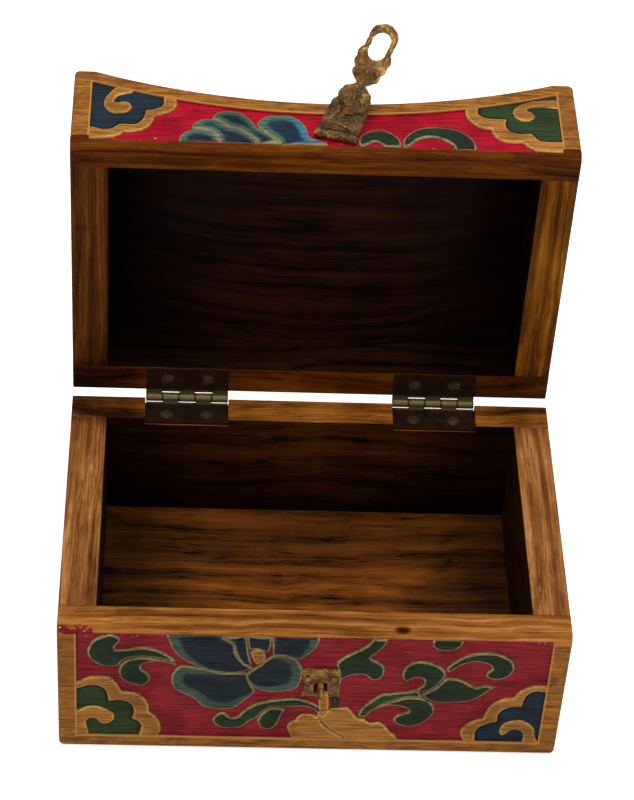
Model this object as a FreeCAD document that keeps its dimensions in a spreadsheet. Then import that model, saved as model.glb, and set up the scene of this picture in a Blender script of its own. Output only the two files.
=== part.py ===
import FreeCAD, Part
import os
import Sketcher

# Hand-carved wooden keepsake box with a hollow-curved hinged lid and a hasp.
# Millimetres, +Z up, origin at the middle of the underside. The lid stands open, as it rests.
# Lid pieces are drawn where they lie when the lid is shut, then swung open about the hinge pins.

doc = FreeCAD.newDocument("keepsake_box")
V = FreeCAD.Vector

# Driving dimensions
DIMENSIONS = {
    "box_width": 145.0,
    "box_depth": 96.0,
    "base_height": 50.0,
    "end_thickness": 10.8,
    "wall_thickness": 9.6,
    "floor_thickness": 11.9,
    "rim_chamfer": 2.4,
    "rim_ease": 0.3,
    "edge_round": 1.0,
    "corner_round": 1.6,
    "border_width": 5.3,
    "border_foot": 5.0,
    "end_border": 2.0,
    "carve_depth": 0.8,
    "rim_gap": 0.2,
    "lid_end_height": 32.8,
    "lid_middle_height": 20.8,
    "lid_flat": 6.0,
    "top_thickness": 9.5,
    "open_angle": 89.3,
    "hinge_length": 25.0,
    "hinge_spacing": 75.4,
    "leaf_thickness": 0.8,
    "leaf_reach": 10.6,
    "barrel_radius": 1.4,
    "barrel_standoff": 0.1,
    "hinge_pin_radius": 0.6,
    "pin_clearance": 0.05,
    "knuckle_gap": 0.15,
    "knuckle_relief": 0.25,
    "mortise_play": 0.2,
    "screw_pitch": 12.2,
    "screw_reach": 6.9,
    "screw_head_radius": 1.9,
    "screw_shank_radius": 0.9,
    "screw_length": 8.0,
    "screw_crown": 0.35,
    "screw_slot_width": 0.5,
    "screw_slot_depth": 0.45,
    "screw_point": 2.0,
    "nail_shank_radius": 0.6,
    "nail_head_radius": 1.0,
    "nail_head_thickness": 0.6,
    "nail_length": 22.0,
    "nail_sink": 0.1,
    "nail_inset": 8.0,
    "lid_nail_height": 10.0,
    "floor_nail_pitch": 40.0,
    "floor_nail_height": 3.2,
    "hasp_place": 2.4,
    "hasp_height": 4.6,
    "hasp_skew": 13.7,
    "hasp_raise_angle": 142.7,
    "hasp_standoff": 1.6,
    "hasp_knuckle_radius": 1.4,
    "hasp_pin_radius": 0.55,
    "hasp_middle_knuckle": 5.0,
    "hasp_width": 12.4,
    "hasp_plate_thickness": 0.7,
    "hasp_plate_width": 9.0,
    "hasp_plate_height": 8.5,
    "hasp_nail_pitch": 5.0,
    "hasp_nail_height": 5.6,
    "hasp_nail_length": 6.0,
    "hasp_nail_head": 0.9,
    "hasp_nail_crown": 0.3,
    "hasp_nail_radius": 0.5,
    "tongue_thickness": 1.2,
    "tongue_offset": 0.2,
    "tongue_hole_reach": 8.0,
    "tongue_hole_radius": 1.4,
    "tongue_hip_reach": 8.2,
    "tongue_hip": 11.4,
    "tongue_waist_reach": 10.8,
    "tongue_waist": 9.4,
    "tongue_shoulder_reach": 13.6,
    "tongue_shoulder": 9.2,
    "tongue_crest_reach": 15.4,
    "tongue_crest": 6.4,
    "tongue_neck_reach": 16.6,
    "tongue_neck": 3.0,
    "tongue_collar_reach": 18.4,
    "tongue_collar": 7.4,
    "tongue_cheek_reach": 21.0,
    "tongue_cheek": 8.2,
    "tongue_bow_reach": 24.0,
    "tongue_bow": 9.8,
    "tongue_dip_reach": 27.6,
    "tongue_dip": 8.6,
    "tongue_ring_reach": 32.2,
    "tongue_ring": 8.6,
    "tongue_tip_reach": 35.2,
    "tongue_tip": 4.2,
    "tongue_swell": 0.82,
    "slot_reach": 28.85,
    "slot_length": 8.3,
    "slot_width": 5.0,
    "staple_height": 27.6,
    "staple_wire_radius": 0.85,
    "staple_spread": 2.6,
    "staple_standoff": 2.4,
    "staple_depth": 6.0,
    "staple_mouth_width": 3.8,
    "staple_mouth_height": 4.9,
    "staple_mouth_depth": 2.5,
    "staple_plate_width": 12.0,
    "staple_plate_foot": 11.4,
    "staple_plate_height": 11.8,
    "staple_plate_bow": 19.8,
    "staple_plate_thickness": 0.7,
    "staple_plate_rise": 1.9,
    "staple_nail_pitch": 7.4,
    "staple_nail_rise": 1.6,
    "staple_ridge_width": 0.5,
    "staple_ridge_height": 0.35,
}

sheet = doc.addObject("Spreadsheet::Sheet", "dims")
for row, (alias, number) in enumerate(DIMENSIONS.items(), 1):
    sheet.set(f"A{row}", alias)
    sheet.set(f"B{row}", str(number))
    sheet.setAlias(f"B{row}", alias)
doc.recompute()


def size(name):
    """A size as an expression that reads the sheet."""
    return f"dims.{name}"


def value(expression):
    """The number that an expression gives now."""
    return float(sheet.evalExpression(expression))


# Shared places, as expressions
HALF_WIDTH = "dims.box_width / 2"
HALF_DEPTH = "dims.box_depth / 2"
INNER_X = "(dims.box_width / 2 - dims.end_thickness)"
INNER_Y = "(dims.box_depth / 2 - dims.wall_thickness)"
RIM = "dims.base_height"
LID_RIM = "(dims.base_height + dims.rim_gap)"
LID_TOP = f"({LID_RIM} + dims.lid_end_height)"
UNDER_END = f"({LID_TOP} - dims.top_thickness)"
CURVE_X = "(dims.box_width / 2 - dims.lid_flat)"
CURVE_SAG = "(dims.lid_end_height - dims.lid_middle_height)"
HINGE_Y = "(dims.box_depth / 2 + dims.barrel_radius + dims.barrel_standoff)"
MORTISE_DEPTH = "(2 * dims.barrel_radius - dims.rim_gap)"
HINGE_Z = f"({RIM} - {MORTISE_DEPTH} + dims.barrel_radius)"
FIELD_Y = "(dims.box_depth / 2 - dims.carve_depth)"
NAIL_X = "(dims.box_width / 2 - dims.border_width / 2)"
NAIL_REACH = "(dims.nail_length + dims.nail_sink)"
NAIL_CUP = "(dims.nail_sink + dims.nail_head_thickness)"
HASP_Z = f"({LID_RIM} + dims.hasp_height)"
SCREW_Y = f"({HINGE_Y} - dims.screw_reach)"
KNUCKLES = 5
KNUCKLE_PITCH = f"(dims.hinge_length / {KNUCKLES})"


def frame(name, expression):
    """A named coordinate frame that pieces are placed by."""
    holder = doc.addObject("App::Placement", name)
    holder.setExpression("Placement", expression)
    doc.recompute()
    return name


def swing(y, z, angle):
    """A placement that turns by an angle about a line along X through y and z."""
    there = f"placement(vector(0; {y}; {z}); rotation(vector(1; 0; 0); {angle}))"
    back = f"placement(vector(0; -{y}; -{z}); rotation(vector(1; 0; 0); 0))"
    return f"{there} * {back}"


SHUT = frame("base_frame", "placement(vector(0; 0; 0); rotation(vector(0; 0; 1); 0))")
LID = frame("lid_frame", swing(HINGE_Y, HINGE_Z, "-dims.open_angle"))
HASP = frame(
    "hasp_frame",
    f"{LID}.Placement * placement(vector(dims.hasp_place; -{FIELD_Y} - dims.hasp_standoff; {HASP_Z});"
    " rotation(vector(0; 1; 0); dims.hasp_skew))",
)
TONGUE = frame(
    "tongue_frame",
    f"{HASP}.Placement * placement(vector(0; 0; 0); rotation(vector(1; 0; 0); -dims.hasp_raise_angle))",
)
STAPLE = frame(
    "staple_frame",
    f"placement(vector(dims.hasp_place; -{FIELD_Y} - dims.staple_standoff; dims.staple_height);"
    " rotation(vector(0; 0; 1); 0))",
)

nodes = []


def hand_in(piece, label):
    """Marks a document object as one sub-part and names it."""
    piece.Label = label
    nodes.append(piece)
    return piece


def new_body(label, place, kept=True):
    """A body in a named frame."""
    body = doc.addObject("PartDesign::Body", label + "_body")
    body.setExpression("Placement", f"{place}.Placement")
    if kept:
        hand_in(body, label)
    return body


def new_sketch(body, role, offset="0", spin="0"):
    """A sketch on one of the body's origin planes, moved along the plane's normal."""
    sketch = body.newObject("Sketcher::SketchObject", body.Name + "_sketch")
    plane = next(item for item in body.Origin.OriginFeatures if item.Role == role)
    sketch.AttachmentSupport = [(plane, "")]
    sketch.MapMode = "FlatFace"
    sketch.setExpression("AttachmentOffset.Base.z", offset)
    sketch.setExpression("AttachmentOffset.Rotation.Angle", spin)
    return sketch


def pin_point(sketch, geometry, end, x, y):
    """Ties a point of a sketch to a place given by two expressions."""
    for kind, expression in (("DistanceX", x), ("DistanceY", y)):
        constraint = Sketcher.Constraint(kind, -1, 1, geometry, end, value(expression))
        index = sketch.addConstraint(constraint)
        sketch.setExpression(f"Constraints[{index}]", expression)


def polygon(sketch, corners):
    """A closed outline, anticlockwise. A corner is x and y, or x, y and a bend for the edge after it.

    A bend is a radius and the side that the edge bows to: 1 into the outline, -1 out of it.
    """
    spots = [V(value(corner[0]), value(corner[1]), 0) for corner in corners]
    first = sketch.GeometryCount
    for index, corner in enumerate(corners):
        start = spots[index]
        end = spots[(index + 1) % len(corners)]
        if len(corner) == 2:
            sketch.addGeometry(Part.LineSegment(start, end), False)
            continue
        radius = value(corner[2][0])
        half = (end - start) / 2
        bow = radius - (radius ** 2 - half.Length ** 2) ** 0.5
        middle = start + half + V(-half.y, half.x, 0).normalize() * bow * corner[2][1]
        sketch.addGeometry(Part.ArcOfCircle(start, middle, end), False)
    for index, corner in enumerate(corners):
        here = first + index
        following = (index + 1) % len(corners)
        meeting = spots[following]
        ends = (end_at(sketch, here, meeting), first + following, end_at(sketch, first + following, meeting))
        sketch.addConstraint(Sketcher.Constraint("Coincident", here, *ends))
        pin_point(sketch, here, end_at(sketch, here, spots[index]), corner[0], corner[1])
        if len(corner) == 3:
            constraint = sketch.addConstraint(Sketcher.Constraint("Radius", here, value(corner[2][0])))
            sketch.setExpression(f"Constraints[{constraint}]", corner[2][0])


def end_at(sketch, geometry, spot):
    """Which end of a sketch edge lies at a spot: 1 or 2."""
    return 1 if sketch.getPoint(geometry, 1).distanceToPoint(spot) < 1e-6 else 2


def circle(sketch, x, y, radius):
    """A round outline."""
    index = sketch.addGeometry(Part.Circle(V(value(x), value(y), 0), V(0, 0, 1), value(radius)), False)
    pin_point(sketch, index, 3, x, y)
    constraint = sketch.addConstraint(Sketcher.Constraint("Radius", index, value(radius)))
    sketch.setExpression(f"Constraints[{constraint}]", radius)


def rectangle(sketch, left, right, low, high):
    """A square-cornered outline."""
    polygon(sketch, [(left, low), (right, low), (right, high), (left, high)])


def pad(body, sketch, length, back=False):
    """Raises a sketch into a solid."""
    feature = body.newObject("PartDesign::Pad", body.Name + "_pad")
    feature.Profile = sketch
    feature.setExpression("Length", length)
    feature.Reversed = back
    doc.recompute()
    return feature


def cut(body, sketch, length, back=False):
    """Cuts a sketch into the body, and makes sure that it took wood or metal away."""
    before = body.Shape.Volume
    feature = body.newObject("PartDesign::Pocket", body.Name + "_pocket")
    feature.Profile = sketch
    feature.setExpression("Length", length)
    feature.Reversed = back
    doc.recompute()
    if body.Shape.Volume >= before - 1e-6:
        raise RuntimeError(f"{body.Label}: a cut removed nothing")
    return feature


def soften(body, kind, chosen, amount):
    """Rounds or bevels the edges whose middle passes a test."""
    tip = body.Tip
    names = []
    for number, edge in enumerate(tip.Shape.Edges, 1):
        middle = edge.valueAt((edge.FirstParameter + edge.LastParameter) / 2)
        if chosen(middle, edge):
            names.append(f"Edge{number}")
    feature = body.newObject("PartDesign::" + kind, body.Name + "_" + kind.lower())
    feature.Base = (tip, names)
    feature.setExpression("Size" if kind == "Chamfer" else "Radius", amount)
    doc.recompute()
    return feature


def near(a, b):
    """Whether two numbers are the same length."""
    return abs(a - b) < 1e-4


def drill(body, role, face, centres, radius, depth, back=False):
    """Round holes from a plane into the body."""
    sketch = new_sketch(body, role, face)
    for x, y in centres:
        circle(sketch, x, y, radius)
    return cut(body, sketch, depth, back)


# The curve of the lid's top edge, an arc between two short flats
CURVE_CHORD = f"(2 * {CURVE_X})"
CURVE_RADIUS = f"({CURVE_CHORD} * {CURVE_CHORD} / 8 / {CURVE_SAG} + {CURVE_SAG} / 2)"


def curved_outline(sketch, bottom):
    """A board's front view: straight below, hollow arc above."""
    polygon(sketch, [
        (f"-{HALF_WIDTH}", bottom),
        (HALF_WIDTH, bottom),
        (HALF_WIDTH, LID_TOP),
        (CURVE_X, LID_TOP, (CURVE_RADIUS, 1)),
        (f"-{CURVE_X}", LID_TOP),
        (f"-{HALF_WIDTH}", LID_TOP),
    ])


# Front and back walls
def wall_nail_heights(lid):
    """Heights of the nails that hold a wall."""
    if lid:
        return [f"{LID_RIM} + dims.lid_nail_height", f"{LID_TOP} - dims.top_thickness / 2"]
    return ["dims.nail_inset", f"{RIM} - dims.nail_inset"]


def nail_centres(lid):
    """Nails at both ends of a wall, in front view."""
    return [(f"{side}{NAIL_X}", height) for side in ("-", "") for height in wall_nail_heights(lid)]


def make_wall(label, front, lid):
    """One long wall with its rim bevel, rounded outer edges, carved field and nail holes."""
    body = new_body(label, LID if lid else SHUT)
    outer = HALF_DEPTH if front else f"-({HALF_DEPTH})"
    sketch = new_sketch(body, "XZ_Plane", outer)
    if lid:
        curved_outline(sketch, LID_RIM)
    else:
        rectangle(sketch, f"-{HALF_WIDTH}", HALF_WIDTH, "0", RIM)
    pad(body, sketch, size("wall_thickness"), back=front)
    outer_y = value(f"-({outer})")
    rim_z = value(LID_RIM if lid else RIM)
    rim_cut = size("rim_chamfer") if front else size("rim_ease")
    soften(body, "Chamfer", lambda m, e: near(m.y, outer_y) and near(m.z, rim_z), rim_cut)
    far_z = value(LID_TOP if lid else "0")
    side_x = value(HALF_WIDTH)
    soften(body, "Fillet", lambda m, e: near(abs(m.x), side_x) and near(m.z, far_z), size("corner_round"))
    bevel = value(rim_cut)
    soften(body, "Fillet", lambda m, e: near(m.y, outer_y) and not near(abs(m.z - rim_z), bevel),
           size("edge_round"))
    if front:
        field = new_sketch(body, "XZ_Plane", outer)
        carved_field(field, lid)
        cut(body, field, size("carve_depth"))
    centres = nail_centres(lid)
    drill(body, "XZ_Plane", outer, centres, size("nail_head_radius"), NAIL_CUP, not front)
    drill(body, "XZ_Plane", outer, centres, size("nail_shank_radius"), size("wall_thickness"), not front)
    return body


def carved_field(sketch, lid):
    """The sunk ground of the carving; it runs out at the rim."""
    side = f"({HALF_WIDTH} - dims.border_width)"
    if not lid:
        rectangle(sketch, f"-{side}", side, "dims.border_foot", f"{RIM} + dims.rim_chamfer")
        return
    top = f"({LID_TOP} - dims.border_width)"
    polygon(sketch, [
        (f"-{side}", f"{LID_RIM} - dims.rim_chamfer"),
        (side, f"{LID_RIM} - dims.rim_chamfer"),
        (side, top),
        (CURVE_X, top, (CURVE_RADIUS, 1)),
        (f"-{CURVE_X}", top),
        (f"-{side}", top),
    ])


base_front = make_wall("base_front_panel", True, False)
base_back = make_wall("base_back_panel", False, False)
lid_front = make_wall("lid_front_panel", True, True)
lid_back = make_wall("lid_back_panel", False, True)

# End boards, between the walls
WALL_NAIL_DEPTH = f"({NAIL_REACH} - dims.wall_thickness)"
END_NAIL_DEPTH = f"({NAIL_REACH} - dims.end_thickness)"
FLOOR_NAILS_Y = ["-dims.floor_nail_pitch / 2", "dims.floor_nail_pitch / 2"]


def make_end(label, side, lid):
    """One end board with its outer edges eased and its nail holes."""
    body = new_body(label, LID if lid else SHUT)
    outer = f"{side}({HALF_WIDTH})"
    sketch = new_sketch(body, "YZ_Plane", outer)
    low = LID_RIM if lid else "0"
    high = UNDER_END if lid else RIM
    rectangle(sketch, f"-{INNER_Y}", INNER_Y, low, high)
    pad(body, sketch, size("end_thickness"), back=(side == ""))
    outer_x = value(outer)
    rim_z = value(low if lid else high)
    soften(body, "Fillet", lambda m, e: near(m.x, outer_x) and near(m.z, rim_z), size("rim_ease"))
    if not lid:
        soften(body, "Fillet", lambda m, e: near(m.x, outer_x) and near(m.z, 0.0), size("corner_round"))
    field = new_sketch(body, "YZ_Plane", outer)
    side_y = f"({INNER_Y} - dims.end_border)"
    top = f"{high} - dims.end_border"
    foot = f"{LID_RIM} + dims.end_border" if lid else size("border_foot")
    rectangle(field, f"-{side_y}", side_y, foot, top)
    cut(body, field, size("carve_depth"), side == "-")
    heights = wall_nail_heights(lid)[:1] if lid else wall_nail_heights(lid)
    centres = [(f"{side}{NAIL_X}", height) for height in heights]
    drill(body, "XZ_Plane", INNER_Y, centres, size("nail_shank_radius"), WALL_NAIL_DEPTH)
    drill(body, "XZ_Plane", f"-{INNER_Y}", centres, size("nail_shank_radius"), WALL_NAIL_DEPTH, True)
    if not lid:
        spots = [(y, size("floor_nail_height")) for y in FLOOR_NAILS_Y]
        inward = side == "-"
        drill(body, "YZ_Plane", outer, spots, size("nail_head_radius"), NAIL_CUP, inward)
        drill(body, "YZ_Plane", outer, spots, size("nail_shank_radius"), size("end_thickness"), inward)
    return body


for side_name, side_sign in (("left", "-"), ("right", "")):
    make_end(f"base_{side_name}_end", side_sign, False)
    make_end(f"lid_{side_name}_end", side_sign, True)

# Floor board, inside the four base boards and flush with their lower edges
floor_board = new_body("base_floor_board", SHUT)
floor_sketch = new_sketch(floor_board, "XY_Plane")
rectangle(floor_sketch, f"-{INNER_X}", INNER_X, f"-{INNER_Y}", INNER_Y)
pad(floor_board, floor_sketch, size("floor_thickness"))
floor_spots = [(y, size("floor_nail_height")) for y in FLOOR_NAILS_Y]
drill(floor_board, "YZ_Plane", f"-{INNER_X}", floor_spots, size("nail_shank_radius"), END_NAIL_DEPTH, True)
drill(floor_board, "YZ_Plane", INNER_X, floor_spots, size("nail_shank_radius"), END_NAIL_DEPTH)

# Top board of the lid, hollow-curved, between the walls and over the ends
top_board = new_body("lid_top_board", LID)
top_sketch = new_sketch(top_board, "XZ_Plane", INNER_Y)
UNDER_CHORD = f"(2 * {INNER_X})"
UNDER_RADIUS = f"({UNDER_CHORD} * {UNDER_CHORD} / 8 / {CURVE_SAG} + {CURVE_SAG} / 2)"
SUNK_TOP = f"({LID_TOP} - dims.carve_depth)"
polygon(top_sketch, [
    (f"-{HALF_WIDTH}", UNDER_END),
    (f"-{INNER_X}", UNDER_END, (UNDER_RADIUS, -1)),
    (INNER_X, UNDER_END),
    (HALF_WIDTH, UNDER_END),
    (HALF_WIDTH, LID_TOP),
    (CURVE_X, LID_TOP),
    (CURVE_X, SUNK_TOP, (CURVE_RADIUS, 1)),
    (f"-{CURVE_X}", SUNK_TOP),
    (f"-{CURVE_X}", LID_TOP),
    (f"-{HALF_WIDTH}", LID_TOP),
])
pad(top_board, top_sketch, f"2 * {INNER_Y}", back=True)
soften(top_board, "Fillet", lambda m, e: near(abs(m.x), value(HALF_WIDTH)) and near(m.z, value(LID_TOP)),
       size("corner_round"))
top_nails = [(f"{side}{NAIL_X}", wall_nail_heights(True)[1]) for side in ("-", "")]
drill(top_board, "XZ_Plane", INNER_Y, top_nails, size("nail_shank_radius"), WALL_NAIL_DEPTH)
drill(top_board, "XZ_Plane", f"-{INNER_Y}", top_nails, size("nail_shank_radius"), WALL_NAIL_DEPTH, True)

# Butt hinges: the base leaf lies in a mortise, the lid leaf on the lid's rim
HINGES = {"left": "-(dims.hinge_spacing / 2)", "right": "(dims.hinge_spacing / 2)"}
BASE_LEAF_LOW = f"({RIM} - {MORTISE_DEPTH})"
LID_LEAF_LOW = f"({LID_RIM} - dims.leaf_thickness)"
BASE_LEAF_TOP = f"({BASE_LEAF_LOW} + dims.leaf_thickness)"
SCREW_BITE = "(dims.screw_length - dims.leaf_thickness)"


def screw_centres():
    """Where the hinge screws stand, in plan."""
    return [(f"{middle} + {side} * dims.screw_pitch / 2", SCREW_Y)
            for middle in HINGES.values() for side in (-1, 1)]


mortises = new_sketch(base_back, "XZ_Plane", f"-{HALF_DEPTH}")
for middle in HINGES.values():
    reach = "(dims.hinge_length / 2 + dims.mortise_play)"
    rectangle(mortises, f"{middle} - {reach}", f"{middle} + {reach}", BASE_LEAF_LOW, f"{RIM} + dims.rim_gap")
cut(base_back, mortises, size("wall_thickness"), True)
drill(base_back, "XY_Plane", BASE_LEAF_LOW, screw_centres(), size("screw_shank_radius"), SCREW_BITE)
drill(lid_back, "XY_Plane", LID_RIM, screw_centres(), size("screw_shank_radius"), SCREW_BITE, True)


def knuckle_start(middle, index):
    """Where a knuckle begins along the pin."""
    return f"{middle} - dims.hinge_length / 2 + {index} * {KNUCKLE_PITCH}"


def make_leaf(label, middle, lid):
    """One hinge leaf: a plate notched for the other leaf's knuckles, its own knuckles and screw holes."""
    body = new_body(label, LID if lid else SHUT)
    own = range(0, KNUCKLES, 2) if lid else range(1, KNUCKLES, 2)
    low = LID_LEAF_LOW if lid else BASE_LEAF_LOW
    plate = new_sketch(body, "XY_Plane", low)
    end = "dims.hinge_length / 2"
    rectangle(plate, f"{middle} - {end}", f"{middle} + {end}", f"{HINGE_Y} - dims.leaf_reach", HINGE_Y)
    pad(body, plate, size("leaf_thickness"))
    notches = new_sketch(body, "XY_Plane", low)
    for index in range(KNUCKLES):
        if index in own:
            continue
        first = f"{knuckle_start(middle, index)} - dims.knuckle_gap"
        last = f"{knuckle_start(middle, index + 1)} + dims.knuckle_gap"
        rectangle(notches, first, last, f"{HINGE_Y} - dims.barrel_radius - dims.knuckle_relief", HINGE_Y)
    cut(body, notches, size("leaf_thickness"), True)
    for index in own:
        knuckle = new_sketch(body, "YZ_Plane", knuckle_start(middle, index))
        circle(knuckle, HINGE_Y, HINGE_Z, size("barrel_radius"))
        pad(body, knuckle, KNUCKLE_PITCH)
    bore = [(HINGE_Y, HINGE_Z)]
    drill(body, "YZ_Plane", f"{middle} - {end}", bore, "dims.hinge_pin_radius + dims.pin_clearance",
          size("hinge_length"), True)
    holes = [(f"{middle} + {side} * dims.screw_pitch / 2", SCREW_Y) for side in (-1, 1)]
    drill(body, "XY_Plane", low, holes, size("screw_shank_radius"), size("leaf_thickness"), True)
    return body


def make_rod(label, place, start, length, y, z, radius):
    """A plain round pin along X."""
    body = new_body(label, place)
    sketch = new_sketch(body, "YZ_Plane", start)
    circle(sketch, y, z, radius)
    pad(body, sketch, length)
    return body


for side_name, middle in HINGES.items():
    make_leaf(f"{side_name}_hinge_base_leaf", middle, False)
    make_leaf(f"{side_name}_hinge_lid_leaf", middle, True)
    make_rod(f"{side_name}_hinge_pin", SHUT, f"{middle} - dims.hinge_length / 2", size("hinge_length"),
             HINGE_Y, HINGE_Z, size("hinge_pin_radius"))


# Turned fasteners, drawn with the head up and its seat at the origin
def turned(name, corners):
    """A solid of revolution about Z from half its outline."""
    body = new_body(name, SHUT, kept=False)
    sketch = new_sketch(body, "XZ_Plane")
    polygon(sketch, corners)
    feature = body.newObject("PartDesign::Revolution", name + "_turn")
    feature.Profile = sketch
    feature.ReferenceAxis = (sketch, ["V_Axis"])
    feature.Angle = 360
    doc.recompute()
    return body


def crown_radius(radius, crown):
    """The sphere radius of a low domed head."""
    return f"(({radius}) * ({radius}) / 2 / ({crown}) + ({crown}) / 2)"


def make_screw(name):
    """A round-headed wood screw with a slot."""
    head = size("screw_head_radius")
    crown = size("screw_crown")
    shank = size("screw_shank_radius")
    body = turned(name, [
        ("0", "-dims.screw_length"),
        (shank, "-dims.screw_length + dims.screw_point"),
        (shank, "0"),
        (head, "0", (crown_radius(head, crown), -1)),
        ("0", crown),
    ])
    slot = new_sketch(body, "XY_Plane", crown)
    half = "dims.screw_slot_width / 2"
    rectangle(slot, f"-{head}", head, f"-{half}", half)
    cut(body, slot, size("screw_slot_depth"))
    return body


def make_nail(name):
    """A flat-headed brad; its head's top is at the origin."""
    shank = size("nail_shank_radius")
    head = size("nail_head_radius")
    return turned(name, [
        ("0", "-dims.nail_length"),
        (shank, "-dims.nail_length + 2 * dims.nail_shank_radius"),
        (shank, "-dims.nail_head_thickness"),
        (head, "-dims.nail_head_thickness"),
        (head, "0"),
        ("0", "0"),
    ])


def make_tack(name):
    """A small domed tack for the hasp plate."""
    head = size("hasp_nail_head")
    crown = size("hasp_nail_crown")
    shank = size("hasp_nail_radius")
    return turned(name, [
        ("0", "-dims.hasp_nail_length"),
        (shank, "-dims.hasp_nail_length + 2 * dims.hasp_nail_radius"),
        (shank, "0"),
        (head, "0", (crown_radius(head, crown), -1)),
        ("0", crown),
    ])


def fastener_group(label, place, make, spots):
    """Several like fasteners in one sub-part, each at a place with its own turn."""
    members = []
    for number, (x, y, z, spin) in enumerate(spots, 1):
        body = make(f"{label}_{number}")
        turned_to = f"rotation(vector({spin[0]}); {spin[1]})"
        body.setExpression("Placement", f"placement(vector({x}; {y}; {z}); {turned_to})")
        members.append(body)
    group = doc.addObject("Part::Compound", label + "_group")
    group.Links = members
    group.setExpression("Placement", f"{place}.Placement")
    doc.recompute()
    return hand_in(group, label)


UPRIGHT = ("1; 0; 0", 0)
UPSIDE_DOWN = ("1; 0; 0", 180)
FACING_FRONT = ("1; 0; 0", 90)
FACING_BACK = ("1; 0; 0", -90)
FACING_LEFT = ("0; 1; 0", -90)
FACING_RIGHT = ("0; 1; 0", 90)
NAIL_Y = "(dims.box_depth / 2 - dims.nail_sink)"
NAIL_END = "(dims.box_width / 2 - dims.nail_sink)"


def wall_nails(centres):
    """Nails driven through the front and the back wall."""
    front = [(x, f"-{NAIL_Y}", z, FACING_FRONT) for x, z in centres]
    back = [(x, NAIL_Y, z, FACING_BACK) for x, z in centres]
    return front + back


lid_nail_spots = nail_centres(True)
base_screw_spots = [(x, y, BASE_LEAF_TOP, UPRIGHT) for x, y in screw_centres()]
lid_screw_spots = [(x, y, LID_LEAF_LOW, UPSIDE_DOWN) for x, y in screw_centres()]
fastener_group("base_leaf_screws", SHUT, make_screw, base_screw_spots)
fastener_group("lid_leaf_screws", LID, make_screw, lid_screw_spots)
fastener_group("base_corner_nails", SHUT, make_nail, wall_nails(nail_centres(False)))
fastener_group("lid_corner_nails", LID, make_nail, wall_nails(lid_nail_spots[0::2]))
fastener_group("lid_top_nails", LID, make_nail, wall_nails(lid_nail_spots[1::2]))
fastener_group(
    "base_floor_nails", SHUT, make_nail,
    [(f"-{NAIL_END}", y, z, FACING_LEFT) for y, z in floor_spots]
    + [(NAIL_END, y, z, FACING_RIGHT) for y, z in floor_spots],
)

# Hasp plate with its middle knuckle, on the lid's carved ground
HASP_REACH = "(dims.hasp_knuckle_radius + dims.knuckle_relief)"
HASP_MIDDLE = "(dims.hasp_middle_knuckle / 2)"
PLATE_SIDE = "(dims.hasp_plate_width / 2)"
HASP_NAILS = [(f"{side} * dims.hasp_nail_pitch / 2", "dims.hasp_nail_height") for side in (-1, 1)]
hasp_plate = new_body("hasp_plate", HASP)
plate_sketch = new_sketch(hasp_plate, "XZ_Plane", "-dims.hasp_standoff")
polygon(plate_sketch, [
    (f"-{HASP_MIDDLE}", "0"),
    (HASP_MIDDLE, "0"),
    (HASP_MIDDLE, HASP_REACH),
    (PLATE_SIDE, HASP_REACH),
    (PLATE_SIDE, size("hasp_plate_height")),
    (f"-{PLATE_SIDE}", size("hasp_plate_height")),
    (f"-{PLATE_SIDE}", HASP_REACH),
    (f"-{HASP_MIDDLE}", HASP_REACH),
])
pad(hasp_plate, plate_sketch, size("hasp_plate_thickness"))
middle_knuckle = new_sketch(hasp_plate, "YZ_Plane", f"-{HASP_MIDDLE}")
circle(middle_knuckle, "0", "0", size("hasp_knuckle_radius"))
pad(hasp_plate, middle_knuckle, size("hasp_middle_knuckle"))
HASP_BORE = "dims.hasp_pin_radius + dims.pin_clearance"
drill(hasp_plate, "YZ_Plane", f"-{HASP_MIDDLE}", [("0", "0")], HASP_BORE, size("hasp_middle_knuckle"), True)
drill(hasp_plate, "XZ_Plane", "-dims.hasp_standoff", HASP_NAILS, size("hasp_nail_radius"),
      size("hasp_plate_thickness"), True)
make_rod("hasp_pin", HASP, "-dims.hasp_width / 2", size("hasp_width"), "0", "0", size("hasp_pin_radius"))
fastener_group("hasp_plate_nails", HASP, make_tack, [
    (x, "dims.hasp_standoff - dims.hasp_plate_thickness", z, FACING_FRONT) for x, z in HASP_NAILS
])
TACK_BITE = "(dims.hasp_nail_length - dims.hasp_plate_thickness)"
tack_holes = []
for across, along in HASP_NAILS:
    x = f"dims.hasp_place + ({across}) * cos(dims.hasp_skew) + ({along}) * sin(dims.hasp_skew)"
    z = f"{HASP_Z} - ({across}) * sin(dims.hasp_skew) + ({along}) * cos(dims.hasp_skew)"
    tack_holes.append((x, z))
drill(lid_front, "XZ_Plane", FIELD_Y, tack_holes, size("hasp_nail_radius"), TACK_BITE)

# Hasp tongue: a scalloped plate, a neck and a ring with a long slot; it hangs straight down when shut
tongue = new_body("hasp_tongue", TONGUE)
TONGUE_SIDE = "(dims.hasp_width / 2)"
SLOT_RUN = "(dims.slot_length / 2 - dims.slot_width / 2)"
TONGUE_FACE = size("tongue_offset")
TONGUE_SPIN = size("hasp_skew")


def tongue_layer():
    """A sketch on the back face of the tongue, turned to its own line."""
    return new_sketch(tongue, "XZ_Plane", TONGUE_FACE, TONGUE_SPIN)


def tongue_cut(x, y, radius):
    """A round hole in the tongue."""
    sketch = tongue_layer()
    circle(sketch, x, y, radius)
    cut(tongue, sketch, size("tongue_thickness"), True)


# The outline goes down the left side and up the right one; lobes bow out between these stations.
STATIONS = ["hip", "waist", "shoulder", "crest", "neck", "collar", "cheek", "bow", "dip", "ring", "tip"]
STRAIGHT_AFTER = ("crest", "neck", "dip")


def station(name, side):
    """A point of the tongue's outline: a place along the tongue and half the width there."""
    return (f"{side}dims.tongue_{name} / 2", f"-dims.tongue_{name}_reach")


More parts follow.
